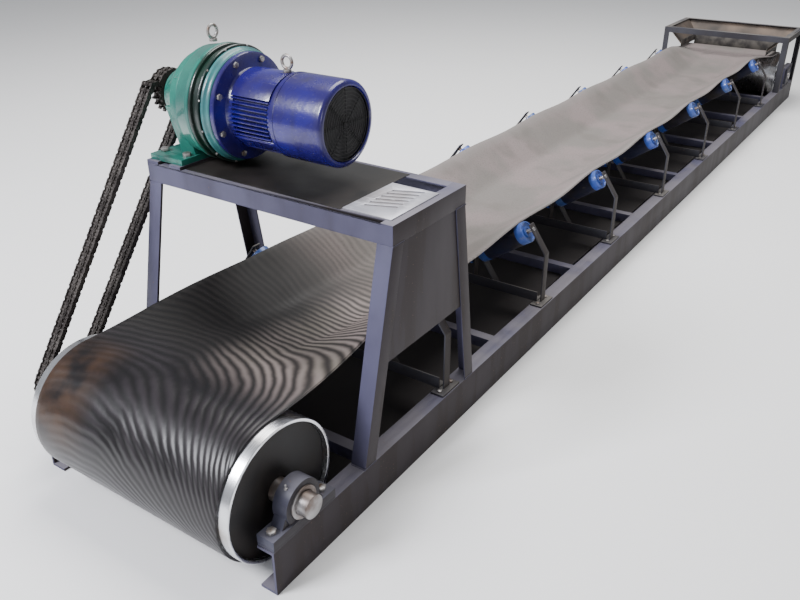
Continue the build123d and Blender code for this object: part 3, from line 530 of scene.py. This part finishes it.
def top_run(y):
    """The belt's height in the middle and its trough angle at a place on the top run."""
    if y < trough_start:
        share = ease((y - head_flat) / (trough_start - head_flat))
        flat_z = head_axis.z + head_radius
    elif y > trough_end:
        share = ease((tail_flat - y) / (tail_flat - trough_end))
        flat_z = tail_axis.z + tail_radius
    else:
        pitch = stations[1] - stations[0]
        sag = sin(pi * (y - stations[0]) / pitch) ** 2 if stations[0] < y < stations[-1] else 0.0
        return trough_z - belt_sag * sag, trough_bend - sag_opening * sag
    return flat_z + (trough_z - flat_z) * share, trough_bend * share


def across_belt(distance, bend):
    """Where a point this far from the belt's middle lies: sideways, and above the middle."""
    side = 1 if distance >= 0 else -1
    distance = abs(distance)
    flat = flat_half - corner_radius * tan(bend / 2)
    if distance <= flat:
        return side * distance, 0.0
    turn = min(bend, (distance - flat) / corner_radius)
    rest = distance - flat - turn * corner_radius
    return (side * (flat + corner_radius * sin(turn) + rest * cos(turn)),
            corner_radius * (1 - cos(turn)) + rest * sin(turn))


rows = []
top_length = tail_axis.y - head_axis.y
for i in range(top_rows):
    y = head_axis.y + top_length * i / top_rows
    rows.append((y - head_axis.y, y, *top_run(y)))
for i in range(tail_rows + 1):
    turn = pi / 2 - pi * i / tail_rows
    rows.append((top_length + (pi / 2 - turn) * tail_radius, tail_axis.y + tail_radius * cos(turn),
                 tail_axis.z + tail_radius * sin(turn), 0.0))
low_route = [(tail_axis.y, tail_axis.z - tail_radius), (tail_flat, tail_axis.z - tail_radius),
             (returns[1], return_z + belt_thickness), (returns[0], return_z + belt_thickness),
             (head_flat, head_axis.z - head_radius), (head_axis.y, head_axis.z - head_radius)]
gone = rows[-1][0]
for start, end in zip(low_route, low_route[1:]):
    count = max(1, round(abs(end[0] - start[0]) / low_row_length))
    for i in range(1, count + 1):
        share = i / count
        rows.append((gone + (start[0] - end[0]) * share, start[0] + (end[0] - start[0]) * share,
                     start[1] + (end[1] - start[1]) * share, 0.0))
    gone += start[0] - end[0]
for i in range(1, head_rows + 1):
    turn = -pi / 2 - pi * i / head_rows
    rows.append((-(pi - pi * i / head_rows) * head_radius, head_axis.y + head_radius * cos(turn),
                 head_axis.z + head_radius * sin(turn), 0.0))

bpy.ops.mesh.primitive_grid_add(x_subdivisions=columns, y_subdivisions=len(rows) - 1, size=2)
belt = bpy.context.object
belt.name = "belt"
run_map = belt.data.uv_layers[0]
run_map.name = "run"
for corner in run_map.data:
    row = rows[round(corner.uv.y * (len(rows) - 1))]
    corner.uv = ((corner.uv.x * 2 - 1) * belt_half, row[0])
for vertex in belt.data.vertices:
    row = rows[round((vertex.co.y + 1) / 2 * (len(rows) - 1))]
    sideways, above = across_belt(vertex.co.x * belt_half, row[3])
    vertex.co = (sideways, row[1], row[2] + above)
only(belt)
bpy.ops.object.mode_set(mode="EDIT")
bpy.ops.mesh.select_all(action="SELECT")
bpy.ops.mesh.remove_doubles(threshold=0.00001)
bpy.ops.object.mode_set(mode="OBJECT")
thick = belt.modifiers.new("thick", "SOLIDIFY")
thick.thickness = belt_thickness
thick.offset = 1.0
bpy.ops.object.modifier_apply(modifier="thick")
rolled_edge(belt, 0.0016, 2, 50)
bpy.ops.object.shade_smooth_by_angle(angle=radians(40))

ripple_pitch = 0.037
belt_finish, place = new_finish("belt_rubber")
run = place.node("UVMap", {"uv_map": "run"}, None, "UV")
across, along = run.part(0), run.part(1)
wander = run.noise(1.5, 2.0) - 0.5
arch = (across + 0.2) * (across + 0.2)
bow = along.fade(0.60, -0.25) * 1.15 + 0.20
ripple_at = along + arch * bow + wander * 0.24 + (run.noise(12.0, 2.0) - 0.5) * 0.016
ripple = ripple_at.maths("SINE", ripple_at * (2 * pi / ripple_pitch)) * 0.5 + 0.5
blotch = run.noise(4.0, 6.0)
grain = run.noise(90.0, 5.0)
patches = run.noise(2.2, 3.0)
at_head = along.fade(2.1, 1.0)
on_top = along.fade(0.0, 0.30)
lit = (across + wander * 0.6).fade(-0.16, 0.20)
lit = lit.maths("MAXIMUM", lit, along.fade(1.0, 1.5))
drum_face = (ripple * blotch.fade(0.3, 0.6)).mix((0.0040, 0.0033, 0.0040), (0.018, 0.0145, 0.0175))
ridge = patches.fade(0.35, 0.65).mix((0.235, 0.190, 0.178), (0.165, 0.145, 0.120))
strength = ripple * (lit * 0.95 + 0.05) * (blotch.fade(0.2, 0.55) * 0.5 + 0.5)
top_face = lit.mix((0.0050, 0.0043, 0.0042), (0.024, 0.0195, 0.0175))
top_face = strength.mix(top_face, ridge)
film = patches.fade(0.38, 0.62).mix((0.185, 0.170, 0.158), (0.235, 0.195, 0.190))
film = (blotch.fade(0.50, 0.70) * 0.6).mix(film, (0.150, 0.138, 0.126))
film = (grain.fade(0.45, 0.75) * 0.5).mix(film, (0.130, 0.110, 0.102))
film = (across.maths("ABSOLUTE", across).fade(0.36, 0.45) * 0.5).mix(film, (0.27, 0.25, 0.24))
belt_colour = on_top.mix(drum_face, top_face)
belt_colour = along.fade(0.8, 1.7).mix(belt_colour, film)
belt_colour = along.fade(7.6, 7.9).mix(belt_colour, (0.030, 0.026, 0.026))
spot = (across + 0.36).maths("ABSOLUTE", across + 0.36).fade(0.20, 0.04)
rust = spot * along.fade(-0.46, -0.28) * along.fade(0.10, -0.10) * blotch.fade(0.33, 0.55)
belt_colour = (rust * 0.75).mix(belt_colour, (0.056, 0.027, 0.012))
belt_rough = on_top * 0.24 + along.fade(0.6, 1.7) * 0.3 + (blotch - 0.5) * 0.3 + 0.34
belt_height = ripple * at_head * (patches.fade(0.3, 0.6) * 0.6 + 0.4) + grain * 0.10
close_finish(place, belt_colour, belt_rough, 0.0, 0.0, belt_height, 0.0011, 0.38)
belt.data.materials.append(belt_finish)
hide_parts("conveyor_belt")
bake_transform(belt)

# ---- Head and tail drums
# Welded drums: a rolled shell turned bright on its face, dark painted end discs set back inside
# the rims, and hubs shrunk on the shafts.
rim_steel, place = new_finish("rim_steel")
turning = place.noise(260.0, 2.0, (1.0, 0.02, 0.02))
tarnish = place.noise(8.0, 5.0)
rim_colour = tarnish.fade(0.45, 0.8).mix((0.74, 0.75, 0.78), (0.42, 0.38, 0.36))
close_finish(place, rim_colour, turning * 0.12 + tarnish * 0.2 + 0.10, 1.0, 0.0, turning, 0.0003)
rounded("head_drum_shell", rim_steel, 0.0025, 3)
rounded("tail_drum", rim_steel, 0.002)
disc_paint, place = new_finish("disc_paint")
soot = place.noise(9.0, 5.0)
disc_colour = soot.fade(0.35, 0.7).mix((0.0075, 0.0065, 0.0070), (0.017, 0.0135, 0.012))
close_finish(place, disc_colour, soot * 0.4 + 0.35, 0.0, 0.0, soot, 0.0006, 0.3)
rounded("head_drum_discs", disc_paint, 0.004, 3)
rounded("head_shaft", turned_steel, 0.002)
rounded("tail_shaft", turned_steel, 0.002)

# ---- Head and tail bearings
# Painted cast iron blocks bolted down at both ends.  The head's two are pillow blocks with bright
# inner rings and a grease nipple each.
cast_iron = weathered_paint("bearing_cast_iron", (0.060, 0.062, 0.095), (0.036, 0.036, 0.052),
                            (0.024, 0.020, 0.022), (0.16, 0.155, 0.18), 0.5, 0.30)
rounded("head_bearing_housings", cast_iron, 0.005, 3)
rounded("tail_bearing_blocks", cast_iron, 0.003)
rounded("head_bearing_inner_rings", turned_steel, 0.003, 3)
nipple_inset = 0.036
nipple_forward = 0.045
nipple_sunk = 0.014
nipple_profile = [(0.0, 0.0), (0.0, 0.006), (0.006, 0.006), (0.007, 0.0035), (0.014, 0.003),
                  (0.017, 0.0042), (0.020, 0.002), (0.021, 0.0)]
housing_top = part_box("head_bearing_housings")[1]
upright = Matrix.Rotation(-pi / 2, 4, "Y")
for side in (-1, 1):
    foot = Matrix.Translation((side * (housing_top.x - nipple_inset), head_axis.y - nipple_forward,
                               housing_top.z - nipple_sunk))
    nipple = lathe("grease_nipple", nipple_profile, 16)
    nipple.data.transform(foot @ upright)
    nipple.data.materials.append(turned_steel)
    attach(nipple, "frame")

# ---- Bolts and lifting eyes
# Zinc-plated hex bolts on thick washers, some rusting, and two forged lifting eyes.  The reducer's
# eye stands a quarter turn from the motor's.
zinc, place = new_finish("zinc_steel")
bloom = place.noise(40.0, 5.0)
zinc_colour = bloom.fade(0.45, 0.72).mix((0.38, 0.37, 0.36), (0.15, 0.09, 0.06))
close_finish(place, zinc_colour, bloom * 0.4 + 0.25, 0.85, 0.0, bloom, 0.0003)
rounded("fasteners", zinc, 0.0011)
eyes = rounded("eye_bolts", zinc, 0.0006)
between_eyes = -0.2
reducer_eye = [vertex.co for vertex in eyes.data.vertices if vertex.co.x < between_eyes]
eye_middle = sum(reducer_eye, Vector()) / len(reducer_eye)
pick(eyes, vertices=lambda at: at.x < between_eyes)
bpy.ops.transform.rotate(value=-pi / 2, orient_axis="Z", center_override=eye_middle)
bpy.ops.object.mode_set(mode="OBJECT")

# ---- Reducer
# A foot-mounted cycloidal reducer in four castings, bolted up in a row and each in gloss machine
# enamel: a coned green nose with its foot, a green bell, a dark green ring and a teal adapter plate.
def enamel(name, colour, shade, roughness=0.22, drips=0.5):
    """Thick gloss enamel over a casting: soft orange peel, darker runs and thin grime."""
    material, place = new_finish(name)
    peel = place.noise(55.0, 2.0)
    clouds = place.noise(6.0, 5.0)
    runs = place.noise(16.0, 4.0, (1.0, 1.0, 0.15))
    paint = clouds.fade(0.3, 0.7).mix(colour, shade)
    paint = (runs.fade(0.58, 0.75) * drips).mix(paint, (0.015, 0.016, 0.018))
    grit = place.noise(220.0, 2.0).fade(0.70, 0.74)
    paint = (grit * 0.6).mix(paint, (0.30, 0.29, 0.27))
    close_finish(place, paint, clouds * 0.25 + roughness, 0.0, 0.35, peel * 0.7 + clouds, 0.0008)
    return material


reducer_green = enamel("reducer_green", (0.012, 0.160, 0.118), (0.009, 0.098, 0.080))
ring_green = enamel("ring_dark_green", (0.0040, 0.0250, 0.0150), (0.0030, 0.0100, 0.0080), 0.2)
adapter_teal = enamel("adapter_teal", (0.050, 0.240, 0.235), (0.022, 0.110, 0.120), 0.25)
rounded("reducer_housing", reducer_green, 0.006, 3)
bell_length = 0.076
ring_low, ring_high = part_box("reducer_ring_housing")
drive_y = (ring_low.y + ring_high.y) / 2
drive_z = (ring_low.z + ring_high.z) / 2
drive_axis = (drive_y, drive_z)
left, right = ring_low.x, ring_high.x
split = left + bell_length
bell = lathe("reducer_bell", [
    (left, 0.190), (left, 0.2085), (left + 0.004, 0.211), (left + 0.056, 0.2175),
    (left + 0.060, 0.2215), (left + 0.073, 0.2215), (split, 0.2190), (split, 0.190)], 96, drive_axis)
bell.data.materials.append(reducer_green)
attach(bell, "frame")
ring = lathe("reducer_ring", [
    (split, 0.188), (split, 0.2195), (split + 0.003, 0.2215), (split + 0.010, 0.2215),
    (split + 0.013, 0.2195), (split + 0.016, 0.2100), (right - 0.015, 0.2100),
    (right - 0.012, 0.2195), (right - 0.009, 0.2215), (right - 0.003, 0.2215), (right, 0.2195),
    (right, 0.188)], 96, drive_axis)
ring.data.materials.append(ring_green)
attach(ring, "frame")
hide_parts("reducer_ring_housing")
left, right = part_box("motor_adapter_flange")[0].x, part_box("motor_adapter_flange")[1].x
adapter = lathe("adapter_flange", [
    (left, 0.060), (left, 0.2095), (left + 0.003, 0.2125), (left + 0.012, 0.2125),
    (left + 0.015, 0.2105), (left + 0.018, 0.207), (right - 0.012, 0.2035),
    (right - 0.003, 0.2035), (right, 0.2005), (right, 0.060)], 96, drive_axis)
adapter.data.materials.append(adapter_teal)
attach(adapter, "frame")
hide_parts("motor_adapter_flange")


def ring_of_bolts(name, x, circle, count, size, way):
    """Hex heads on washers, in a ring about the drive's axis, facing along X this way (1 or -1)."""
    heads = []
    for i in range(count):
        turn = 2 * pi * (i + 0.5) / count
        y, z = drive_y + circle * cos(turn), drive_z + circle * sin(turn)
        bpy.ops.mesh.primitive_cylinder_add(vertices=20, radius=size * 0.98, depth=size * 0.18,
                                            location=(x + way * size * 0.09, y, z),
                                            rotation=(0, pi / 2, 0))
        heads.append(bpy.context.object)
        bpy.ops.mesh.primitive_cylinder_add(vertices=6, radius=size * 0.86, depth=size * 0.62,
                                            location=(x + way * size * 0.49, y, z),
                                            rotation=(turn, pi / 2, 0))
        heads.append(bpy.context.object)
    piece = joined(heads, name)
    bpy.ops.object.transform_apply()
    rolled_edge(piece, size * 0.06)
    bpy.ops.object.shade_smooth_by_angle(angle=radians(35))
    piece.data.materials.append(zinc)
    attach(piece, "frame")


nose_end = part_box("reducer_housing")[0].x
ring_of_bolts("ring_bolts", ring_high.x + 0.0002, 0.2165, 12, 0.0048, 1)
ring_of_bolts("nose_bolts", nose_end, 0.078, 8, 0.0052, -1)
rib_width = 0.012
rib_start, rib_end = nose_end + 0.028, nose_end + 0.172
start_foot, start_crest = 0.090, 0.112
end_foot, end_crest = 0.176, 0.207
start_height = start_crest - start_foot
end_height = end_crest - end_foot
start_middle = (start_foot + start_crest) / 2
end_middle = (end_foot + end_crest) / 2
bpy.ops.mesh.primitive_cube_add(size=1, location=((rib_start + rib_end) / 2, 0, start_middle),
                                scale=(rib_end - rib_start, rib_width, start_height))
rib = bpy.context.object
bpy.ops.object.transform_apply()
pick(rib, faces=lambda normal: normal.x > 0.9)
bpy.ops.transform.translate(value=(0, 0, end_middle - start_middle))
bpy.ops.transform.resize(value=(1, 1, end_height / start_height),
                         center_override=(rib_end, 0, end_middle))
bpy.ops.object.mode_set(mode="OBJECT")
rolled_edge(rib, 0.004, 3)
bpy.ops.object.shade_smooth_by_angle(angle=radians(40))
rib.data.materials.append(reducer_green)
for i, turn in enumerate((0.62, 1.57, 2.52)):
    about_drive = Matrix.Translation((0, drive_y, drive_z)) @ Matrix.Rotation(turn - pi / 2, 4, "X")
    nose_rib = copied(rib, f"nose_rib_{i}", about_drive)
    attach(nose_rib, "frame")
bpy.data.objects.remove(rib)
rounded("reducer_output_shaft", turned_steel, 0.003)

# ---- Motor
# A flange motor in deep blue enamel: ribbed cast barrel with flat pads, a drawn sheet cowl with a
# rolled shoulder over the fan, and a black wire grille that keeps fingers out.
motor_blue = enamel("motor_blue", (0.0130, 0.0080, 0.170), (0.0095, 0.0040, 0.070), 0.14, 0.35)
cowl_low, cowl_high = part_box("motor_fan_cowl")
left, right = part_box("motor_housing")[0].x, cowl_low.x
barrel = lathe("motor_barrel", [
    (left, 0.0245), (left, 0.197), (left + 0.003, 0.200), (left + 0.017, 0.200), (left + 0.020, 0.197),
    (left + 0.021, 0.160), (left + 0.026, 0.146), (left + 0.034, 0.142), (left + 0.052, 0.140),
    (left + 0.056, 0.131), (right - 0.022, 0.131), (right - 0.018, 0.143), (right - 0.004, 0.146),
    (right + 0.010, 0.1505), (right + 0.014, 0.1505), (right + 0.014, 0.0245)], 96, drive_axis)
barrel_parts = [barrel]
fin_pitch = 0.0165
fin_thickness = 0.0042
fin_circle = 0.149
saddle_radius = 0.1492
saddle_floor = 0.073
pad_width, pad_thickness, pad_middle = 0.062, 0.026, 0.133
pad_overhang = 0.006
boss_radius, boss_height, boss_middle = 0.026, 0.028, 0.1358
boss_from_eye = 0.029
fin_left, fin_right = left + 0.045, right - 0.016
fin_length = fin_right - fin_left
fin_middle = ((fin_left + fin_right) / 2, drive_y, drive_z)
for i in range(-5, 5):
    offset = i * fin_pitch
    across = 2 * sqrt(fin_circle ** 2 - offset ** 2)
    for shift, sizes in (((0, 0, offset), (fin_length, across, fin_thickness)),
                         ((0, offset, 0), (fin_length, fin_thickness, across))):
        bpy.ops.mesh.primitive_cube_add(size=1, location=Vector(fin_middle) + Vector(shift),
                                        scale=sizes)
        fin = bpy.context.object
        bpy.ops.object.transform_apply()
        rolled_edge(fin, 0.0014)
        barrel_parts.append(fin)
bpy.ops.mesh.primitive_cylinder_add(vertices=96, radius=saddle_radius, depth=fin_length,
                                    location=fin_middle, rotation=(0, pi / 2, 0))
saddle = bpy.context.object
bpy.ops.object.transform_apply()
bpy.ops.object.mode_set(mode="EDIT")
bpy.ops.mesh.select_all(action="SELECT")
bpy.ops.mesh.bisect(plane_co=(0, drive_y, drive_z + saddle_floor), plane_no=(0, 0, 1),
                    use_fill=True, clear_inner=True)
bpy.ops.mesh.select_all(action="SELECT")
bpy.ops.mesh.normals_make_consistent(inside=False)
bpy.ops.object.mode_set(mode="OBJECT")
rolled_edge(saddle, 0.005, 3, 35)
barrel_parts.append(saddle)
for turn in (135, 225):
    bpy.ops.mesh.primitive_cube_add(size=1, location=(0, 0, pad_middle),
                                    scale=(fin_length + 2 * pad_overhang, pad_width, pad_thickness))
    pad = bpy.context.object
    bpy.ops.object.transform_apply()
    pad.data.transform(Matrix.Translation(fin_middle) @ Matrix.Rotation(radians(turn), 4, "X"))
    rolled_edge(pad, 0.005, 3)
    barrel_parts.append(pad)
boss_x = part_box("eye_bolts")[1].x - boss_from_eye
bpy.ops.mesh.primitive_cylinder_add(vertices=32, radius=boss_radius, depth=boss_height,
                                    location=(boss_x, drive_y, drive_z + boss_middle))
barrel_parts.append(bpy.context.object)
bpy.ops.object.transform_apply()
joined(barrel_parts, "motor_barrel")
bpy.ops.object.shade_smooth_by_angle(angle=radians(35))
barrel.data.materials.append(motor_blue)
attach(barrel, "frame")
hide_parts("motor_housing")

left, right = cowl_low.x, cowl_high.x
outer = (cowl_high.y - cowl_low.y) / 2
sheet = 0.0022
bend = 0.017
shoulder = [(right - bend + bend * sin(turn * pi / 16), outer - bend + bend * cos(turn * pi / 16))
            for turn in range(9)]
inside = [(x - sheet, radius - sheet) for x, radius in reversed(shoulder)]
cowl = lathe("fan_cowl", [
    (left, outer - sheet), (left, outer - 0.0004), (left + 0.003, outer), (left + 0.016, outer),
    (left + 0.018, outer - 0.0025), (left + 0.024, outer - 0.0025), (left + 0.026, outer), *shoulder,
    (right, outer - 0.020), (right - 0.006, outer - 0.023), (right - 0.0075, outer - 0.021), *inside],
    96, drive_axis)
cowl.data.materials.append(motor_blue)
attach(cowl, "frame")
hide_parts("motor_fan_cowl")
grille_black, place = new_finish("grille_black")
haze = place.noise(30.0, 4.0)
close_finish(place, haze.mix((0.007, 0.007, 0.008), (0.016, 0.015, 0.016)), haze * 0.3 + 0.35,
             0.2, 0.0, haze, 0.0003)
ring_count = 10
first_ring, ring_gap = 0.016, 0.0125
ring_wire, spoke_wire, spoke_length = 0.0016, 0.0022, 0.262
guard_radius, guard_thickness = 0.130, 0.003
wires = []
for i in range(ring_count):
    bpy.ops.mesh.primitive_torus_add(major_radius=first_ring + ring_gap * i, minor_radius=ring_wire,
                                     major_segments=48, minor_segments=8,
                                     location=(right - 0.004, drive_y, drive_z),
                                     rotation=(0, pi / 2, 0))
    wires.append(bpy.context.object)
for turn in (0, 45, 90, 135):
    bpy.ops.mesh.primitive_cylinder_add(vertices=8, radius=spoke_wire, depth=spoke_length,
                                        location=(right - 0.0072, drive_y, drive_z),
                                        rotation=(radians(turn), 0, 0))
    wires.append(bpy.context.object)
bpy.ops.mesh.primitive_cylinder_add(vertices=64, radius=guard_radius, depth=guard_thickness,
                                    location=(right - 0.016, drive_y, drive_z), rotation=(0, pi / 2, 0))
wires.append(bpy.context.object)
grille = joined(wires, "fan_grille")
bpy.ops.object.transform_apply()
bpy.ops.object.shade_smooth_by_angle(angle=radians(40))
grille.data.materials.append(grille_black)
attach(grille, "frame")
rounded("motor_terminal_box", motor_blue, 0.004, 3)
rounded("motor_stator", turned_steel, 0.001)
rounded("motor_rotor", turned_steel, 0.002)
rounded("motor_fan", grille_black, 0.0008)

# ---- Chain and sprockets
# A duplex roller chain, black with oil: inner links with their rollers between outer links, from
# the reducer's 20-tooth sprocket down to the 24-tooth one on the head shaft.  Old grease packs the
# straight runs.
chain_steel, place = new_finish("chain_steel")
mottle = place.noise(18.0, 4.0)
rubbed = place.noise(120.0, 3.0)
chain_colour = mottle.fade(0.35, 0.7).mix((0.034, 0.028, 0.026), (0.075, 0.066, 0.060))
chain_colour = rubbed.fade(0.60, 0.75).mix(chain_colour, (0.16, 0.15, 0.145))
close_finish(place, chain_colour, mottle * 0.35 + 0.30, 0.5, 0.0, rubbed, 0.0003)
rounded("driven_sprocket", chain_steel, 0.0008)
rounded("drive_sprocket", chain_steel, 0.0008)
link_pitch = 0.0254
strand_gap = 0.02929
plate_end = 0.0116
plate_waist = 0.80
inner_plate_shift = 0.0094
outer_plate_x = 0.0274
roll_radius, roll_length = 0.0079, 0.0155
pin_radius, pin_length = 0.0040, 0.0600
grease_width, grease_height = 0.0520, 0.0075
chain_low, chain_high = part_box("drive_chain")
chain_x = (chain_low.x + chain_high.x) / 2
head_teeth, reducer_teeth, link_count = 24, 20, 120
big = link_pitch / 2 / sin(pi / head_teeth)
small = link_pitch / 2 / sin(pi / reducer_teeth)
reach = Vector((drive_y - head_axis.y, drive_z - head_axis.z))
lean = asin((big - small) / reach.length)
drive_turn = atan2(reach.y, reach.x)
strand = sqrt(reach.length ** 2 - (big - small) ** 2) / link_pitch
on_small = reducer_teeth * (pi - 2 * lean) / (2 * pi)


def pin_at(count):
    """Where the chain's pin stands, this many pitches on from where it leaves the big sprocket."""
    leave = drive_turn + pi / 2 + lean
    across = Vector((cos(leave), sin(leave)))
    forward = Vector((cos(leave - pi / 2), sin(leave - pi / 2)))
    centre = Vector((head_axis.y, head_axis.z))
    if count < strand:
        return centre + across * big + forward * count * link_pitch
    count -= strand
    far = centre + reach
    if count < on_small:
        turn = leave - count * 2 * pi / reducer_teeth
        return far + Vector((cos(turn), sin(turn))) * small
    count -= on_small
    meet = drive_turn - pi / 2 - lean
    across = Vector((cos(meet), sin(meet)))
    back = Vector((cos(meet - pi / 2), sin(meet - pi / 2)))
    if count < strand:
        return far + across * small + back * count * link_pitch
    count -= strand
    turn = meet - count * 2 * pi / head_teeth
    return centre + Vector((cos(turn), sin(turn))) * big


def chain_plate(x, thickness):
    """One waisted side plate between two pins, along Y from the origin."""
    bpy.ops.mesh.primitive_circle_add(vertices=20, radius=plate_end, fill_type="NGON",
                                      location=(x, 0, 0), rotation=(0, pi / 2, 0))
    plate = bpy.context.object
    bpy.ops.object.transform_apply()
    pick(plate, vertices=lambda at: at.y > 0.001)
    bpy.ops.transform.translate(value=(0, link_pitch, 0))
    bpy.ops.object.mode_set(mode="OBJECT")
    pick(plate, vertices=lambda at: abs(at.y) < 0.001)
    bpy.ops.transform.translate(value=(0, link_pitch / 2, 0))
    bpy.ops.transform.resize(value=(1, 1, plate_waist), center_override=(x, link_pitch / 2, 0))
    bpy.ops.object.mode_set(mode="OBJECT")
    wall = plate.modifiers.new("wall", "SOLIDIFY")
    wall.thickness = thickness
    wall.offset = 0.0
    only(plate)
    bpy.ops.object.modifier_apply(modifier="wall")
    return plate


def chain_link(name, plates, thickness, rolls):
    """One link: its plates, and either its four rollers or its two pins."""
    parts = [chain_plate(x, thickness) for x in plates]
    for y in (0.0, link_pitch):
        bars = [(side * strand_gap / 2, roll_radius, roll_length) for side in (-1, 1)]
        if not rolls:
            bars = [(0.0, pin_radius, pin_length)]
        for x, radius, length in bars:
            bpy.ops.mesh.primitive_cylinder_add(vertices=12, radius=radius, depth=length,
                                                location=(x, y, 0), rotation=(0, pi / 2, 0))
            parts.append(bpy.context.object)
            bpy.ops.object.transform_apply()
    return joined(parts, name)


inner_plates = [side * strand_gap / 2 + wall * inner_plate_shift
                for side in (-1, 1) for wall in (-1, 1)]
inner = chain_link("inner_link", inner_plates, 0.0030, True)
outer_link = chain_link("outer_link", [-outer_plate_x, 0.0, outer_plate_x], 0.0032, False)
links = []
for number in range(link_count):
    start, end = pin_at(number), pin_at((number + 1) % link_count)
    turn = Matrix.Rotation(atan2(end.y - start.y, end.x - start.x), 4, "X")
    links.append(copied(inner if number % 2 == 0 else outer_link, f"link_{number}",
                        Matrix.Translation((chain_x, start.x, start.y)) @ turn))
straight = int(strand)
for first in (1, round(strand + on_small) + 1):
    start, end = pin_at(first), pin_at(first + straight - 2)
    along_run = end - start
    bpy.ops.mesh.primitive_cube_add(size=1, location=(0, 0, 0))
    grease = bpy.context.object
    grease.scale = (grease_width, along_run.length, grease_height)
    bpy.ops.object.transform_apply()
    turn = Matrix.Rotation(atan2(along_run.y, along_run.x), 4, "X")
    middle = (start + end) / 2
    grease.data.transform(Matrix.Translation((chain_x, middle.x, middle.y)) @ turn)
    links.append(grease)
bpy.data.objects.remove(inner)
bpy.data.objects.remove(outer_link)
chain = joined(links, "duplex_chain")
bpy.ops.object.shade_smooth_by_angle(angle=radians(40))
chain.data.materials.append(chain_steel)
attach(chain, "frame")
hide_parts("drive_chain")

# ---- Loading hopper
# Sheet plates welded inside a frame of angles on four posts: scuffed bare where the load strikes,
# dusty elsewhere.  Two rubber skirts and a rear flap close most of the gap to the belt.
hopper_finish = weathered_paint("hopper_plate", (0.170, 0.128, 0.100), (0.040, 0.034, 0.031),
                                (0.030, 0.025, 0.023), (0.22, 0.205, 0.19), 0.35, 0.48)
rounded("hopper_plates", hopper_finish, 0.0)
rounded("hopper_frame", idler_paint, 0.0)
skirt_rubber, place = new_finish("skirt_rubber")
dust = place.noise(12.0, 5.0)
skirt_colour = dust.fade(0.35, 0.65).mix((0.10, 0.09, 0.08), (0.030, 0.027, 0.026))
close_finish(place, skirt_colour, dust * 0.3 + 0.6, 0.0, 0.0, dust, 0.0008)
skirt_in, skirt_out = 0.402, 0.408
skirt_front, skirt_back = 3.27, 3.74
skirt_bottom, skirt_top = 0.509, 0.575
flap_front, flap_back = 3.744, 3.750
flap_bottom, flap_top = 0.4645, 0.560
for name, low, high in (
        ("skirt_left", (-skirt_out, skirt_front, skirt_bottom), (-skirt_in, skirt_back, skirt_top)),
        ("skirt_right", (skirt_in, skirt_front, skirt_bottom), (skirt_out, skirt_back, skirt_top)),
        ("rear_flap", (-skirt_out, flap_front, flap_bottom), (skirt_out, flap_back, flap_top))):
    low, high = Vector(low), Vector(high)
    bpy.ops.mesh.primitive_cube_add(size=1, location=(low + high) / 2)
    skirt = bpy.context.object
    skirt.name = name
    skirt.scale = high - low
    bpy.ops.object.transform_apply()
    rolled_edge(skirt, 0.0015)
    bpy.ops.object.shade_smooth_by_angle(angle=radians(35))
    skirt.data.materials.append(skirt_rubber)
    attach(skirt, "frame")
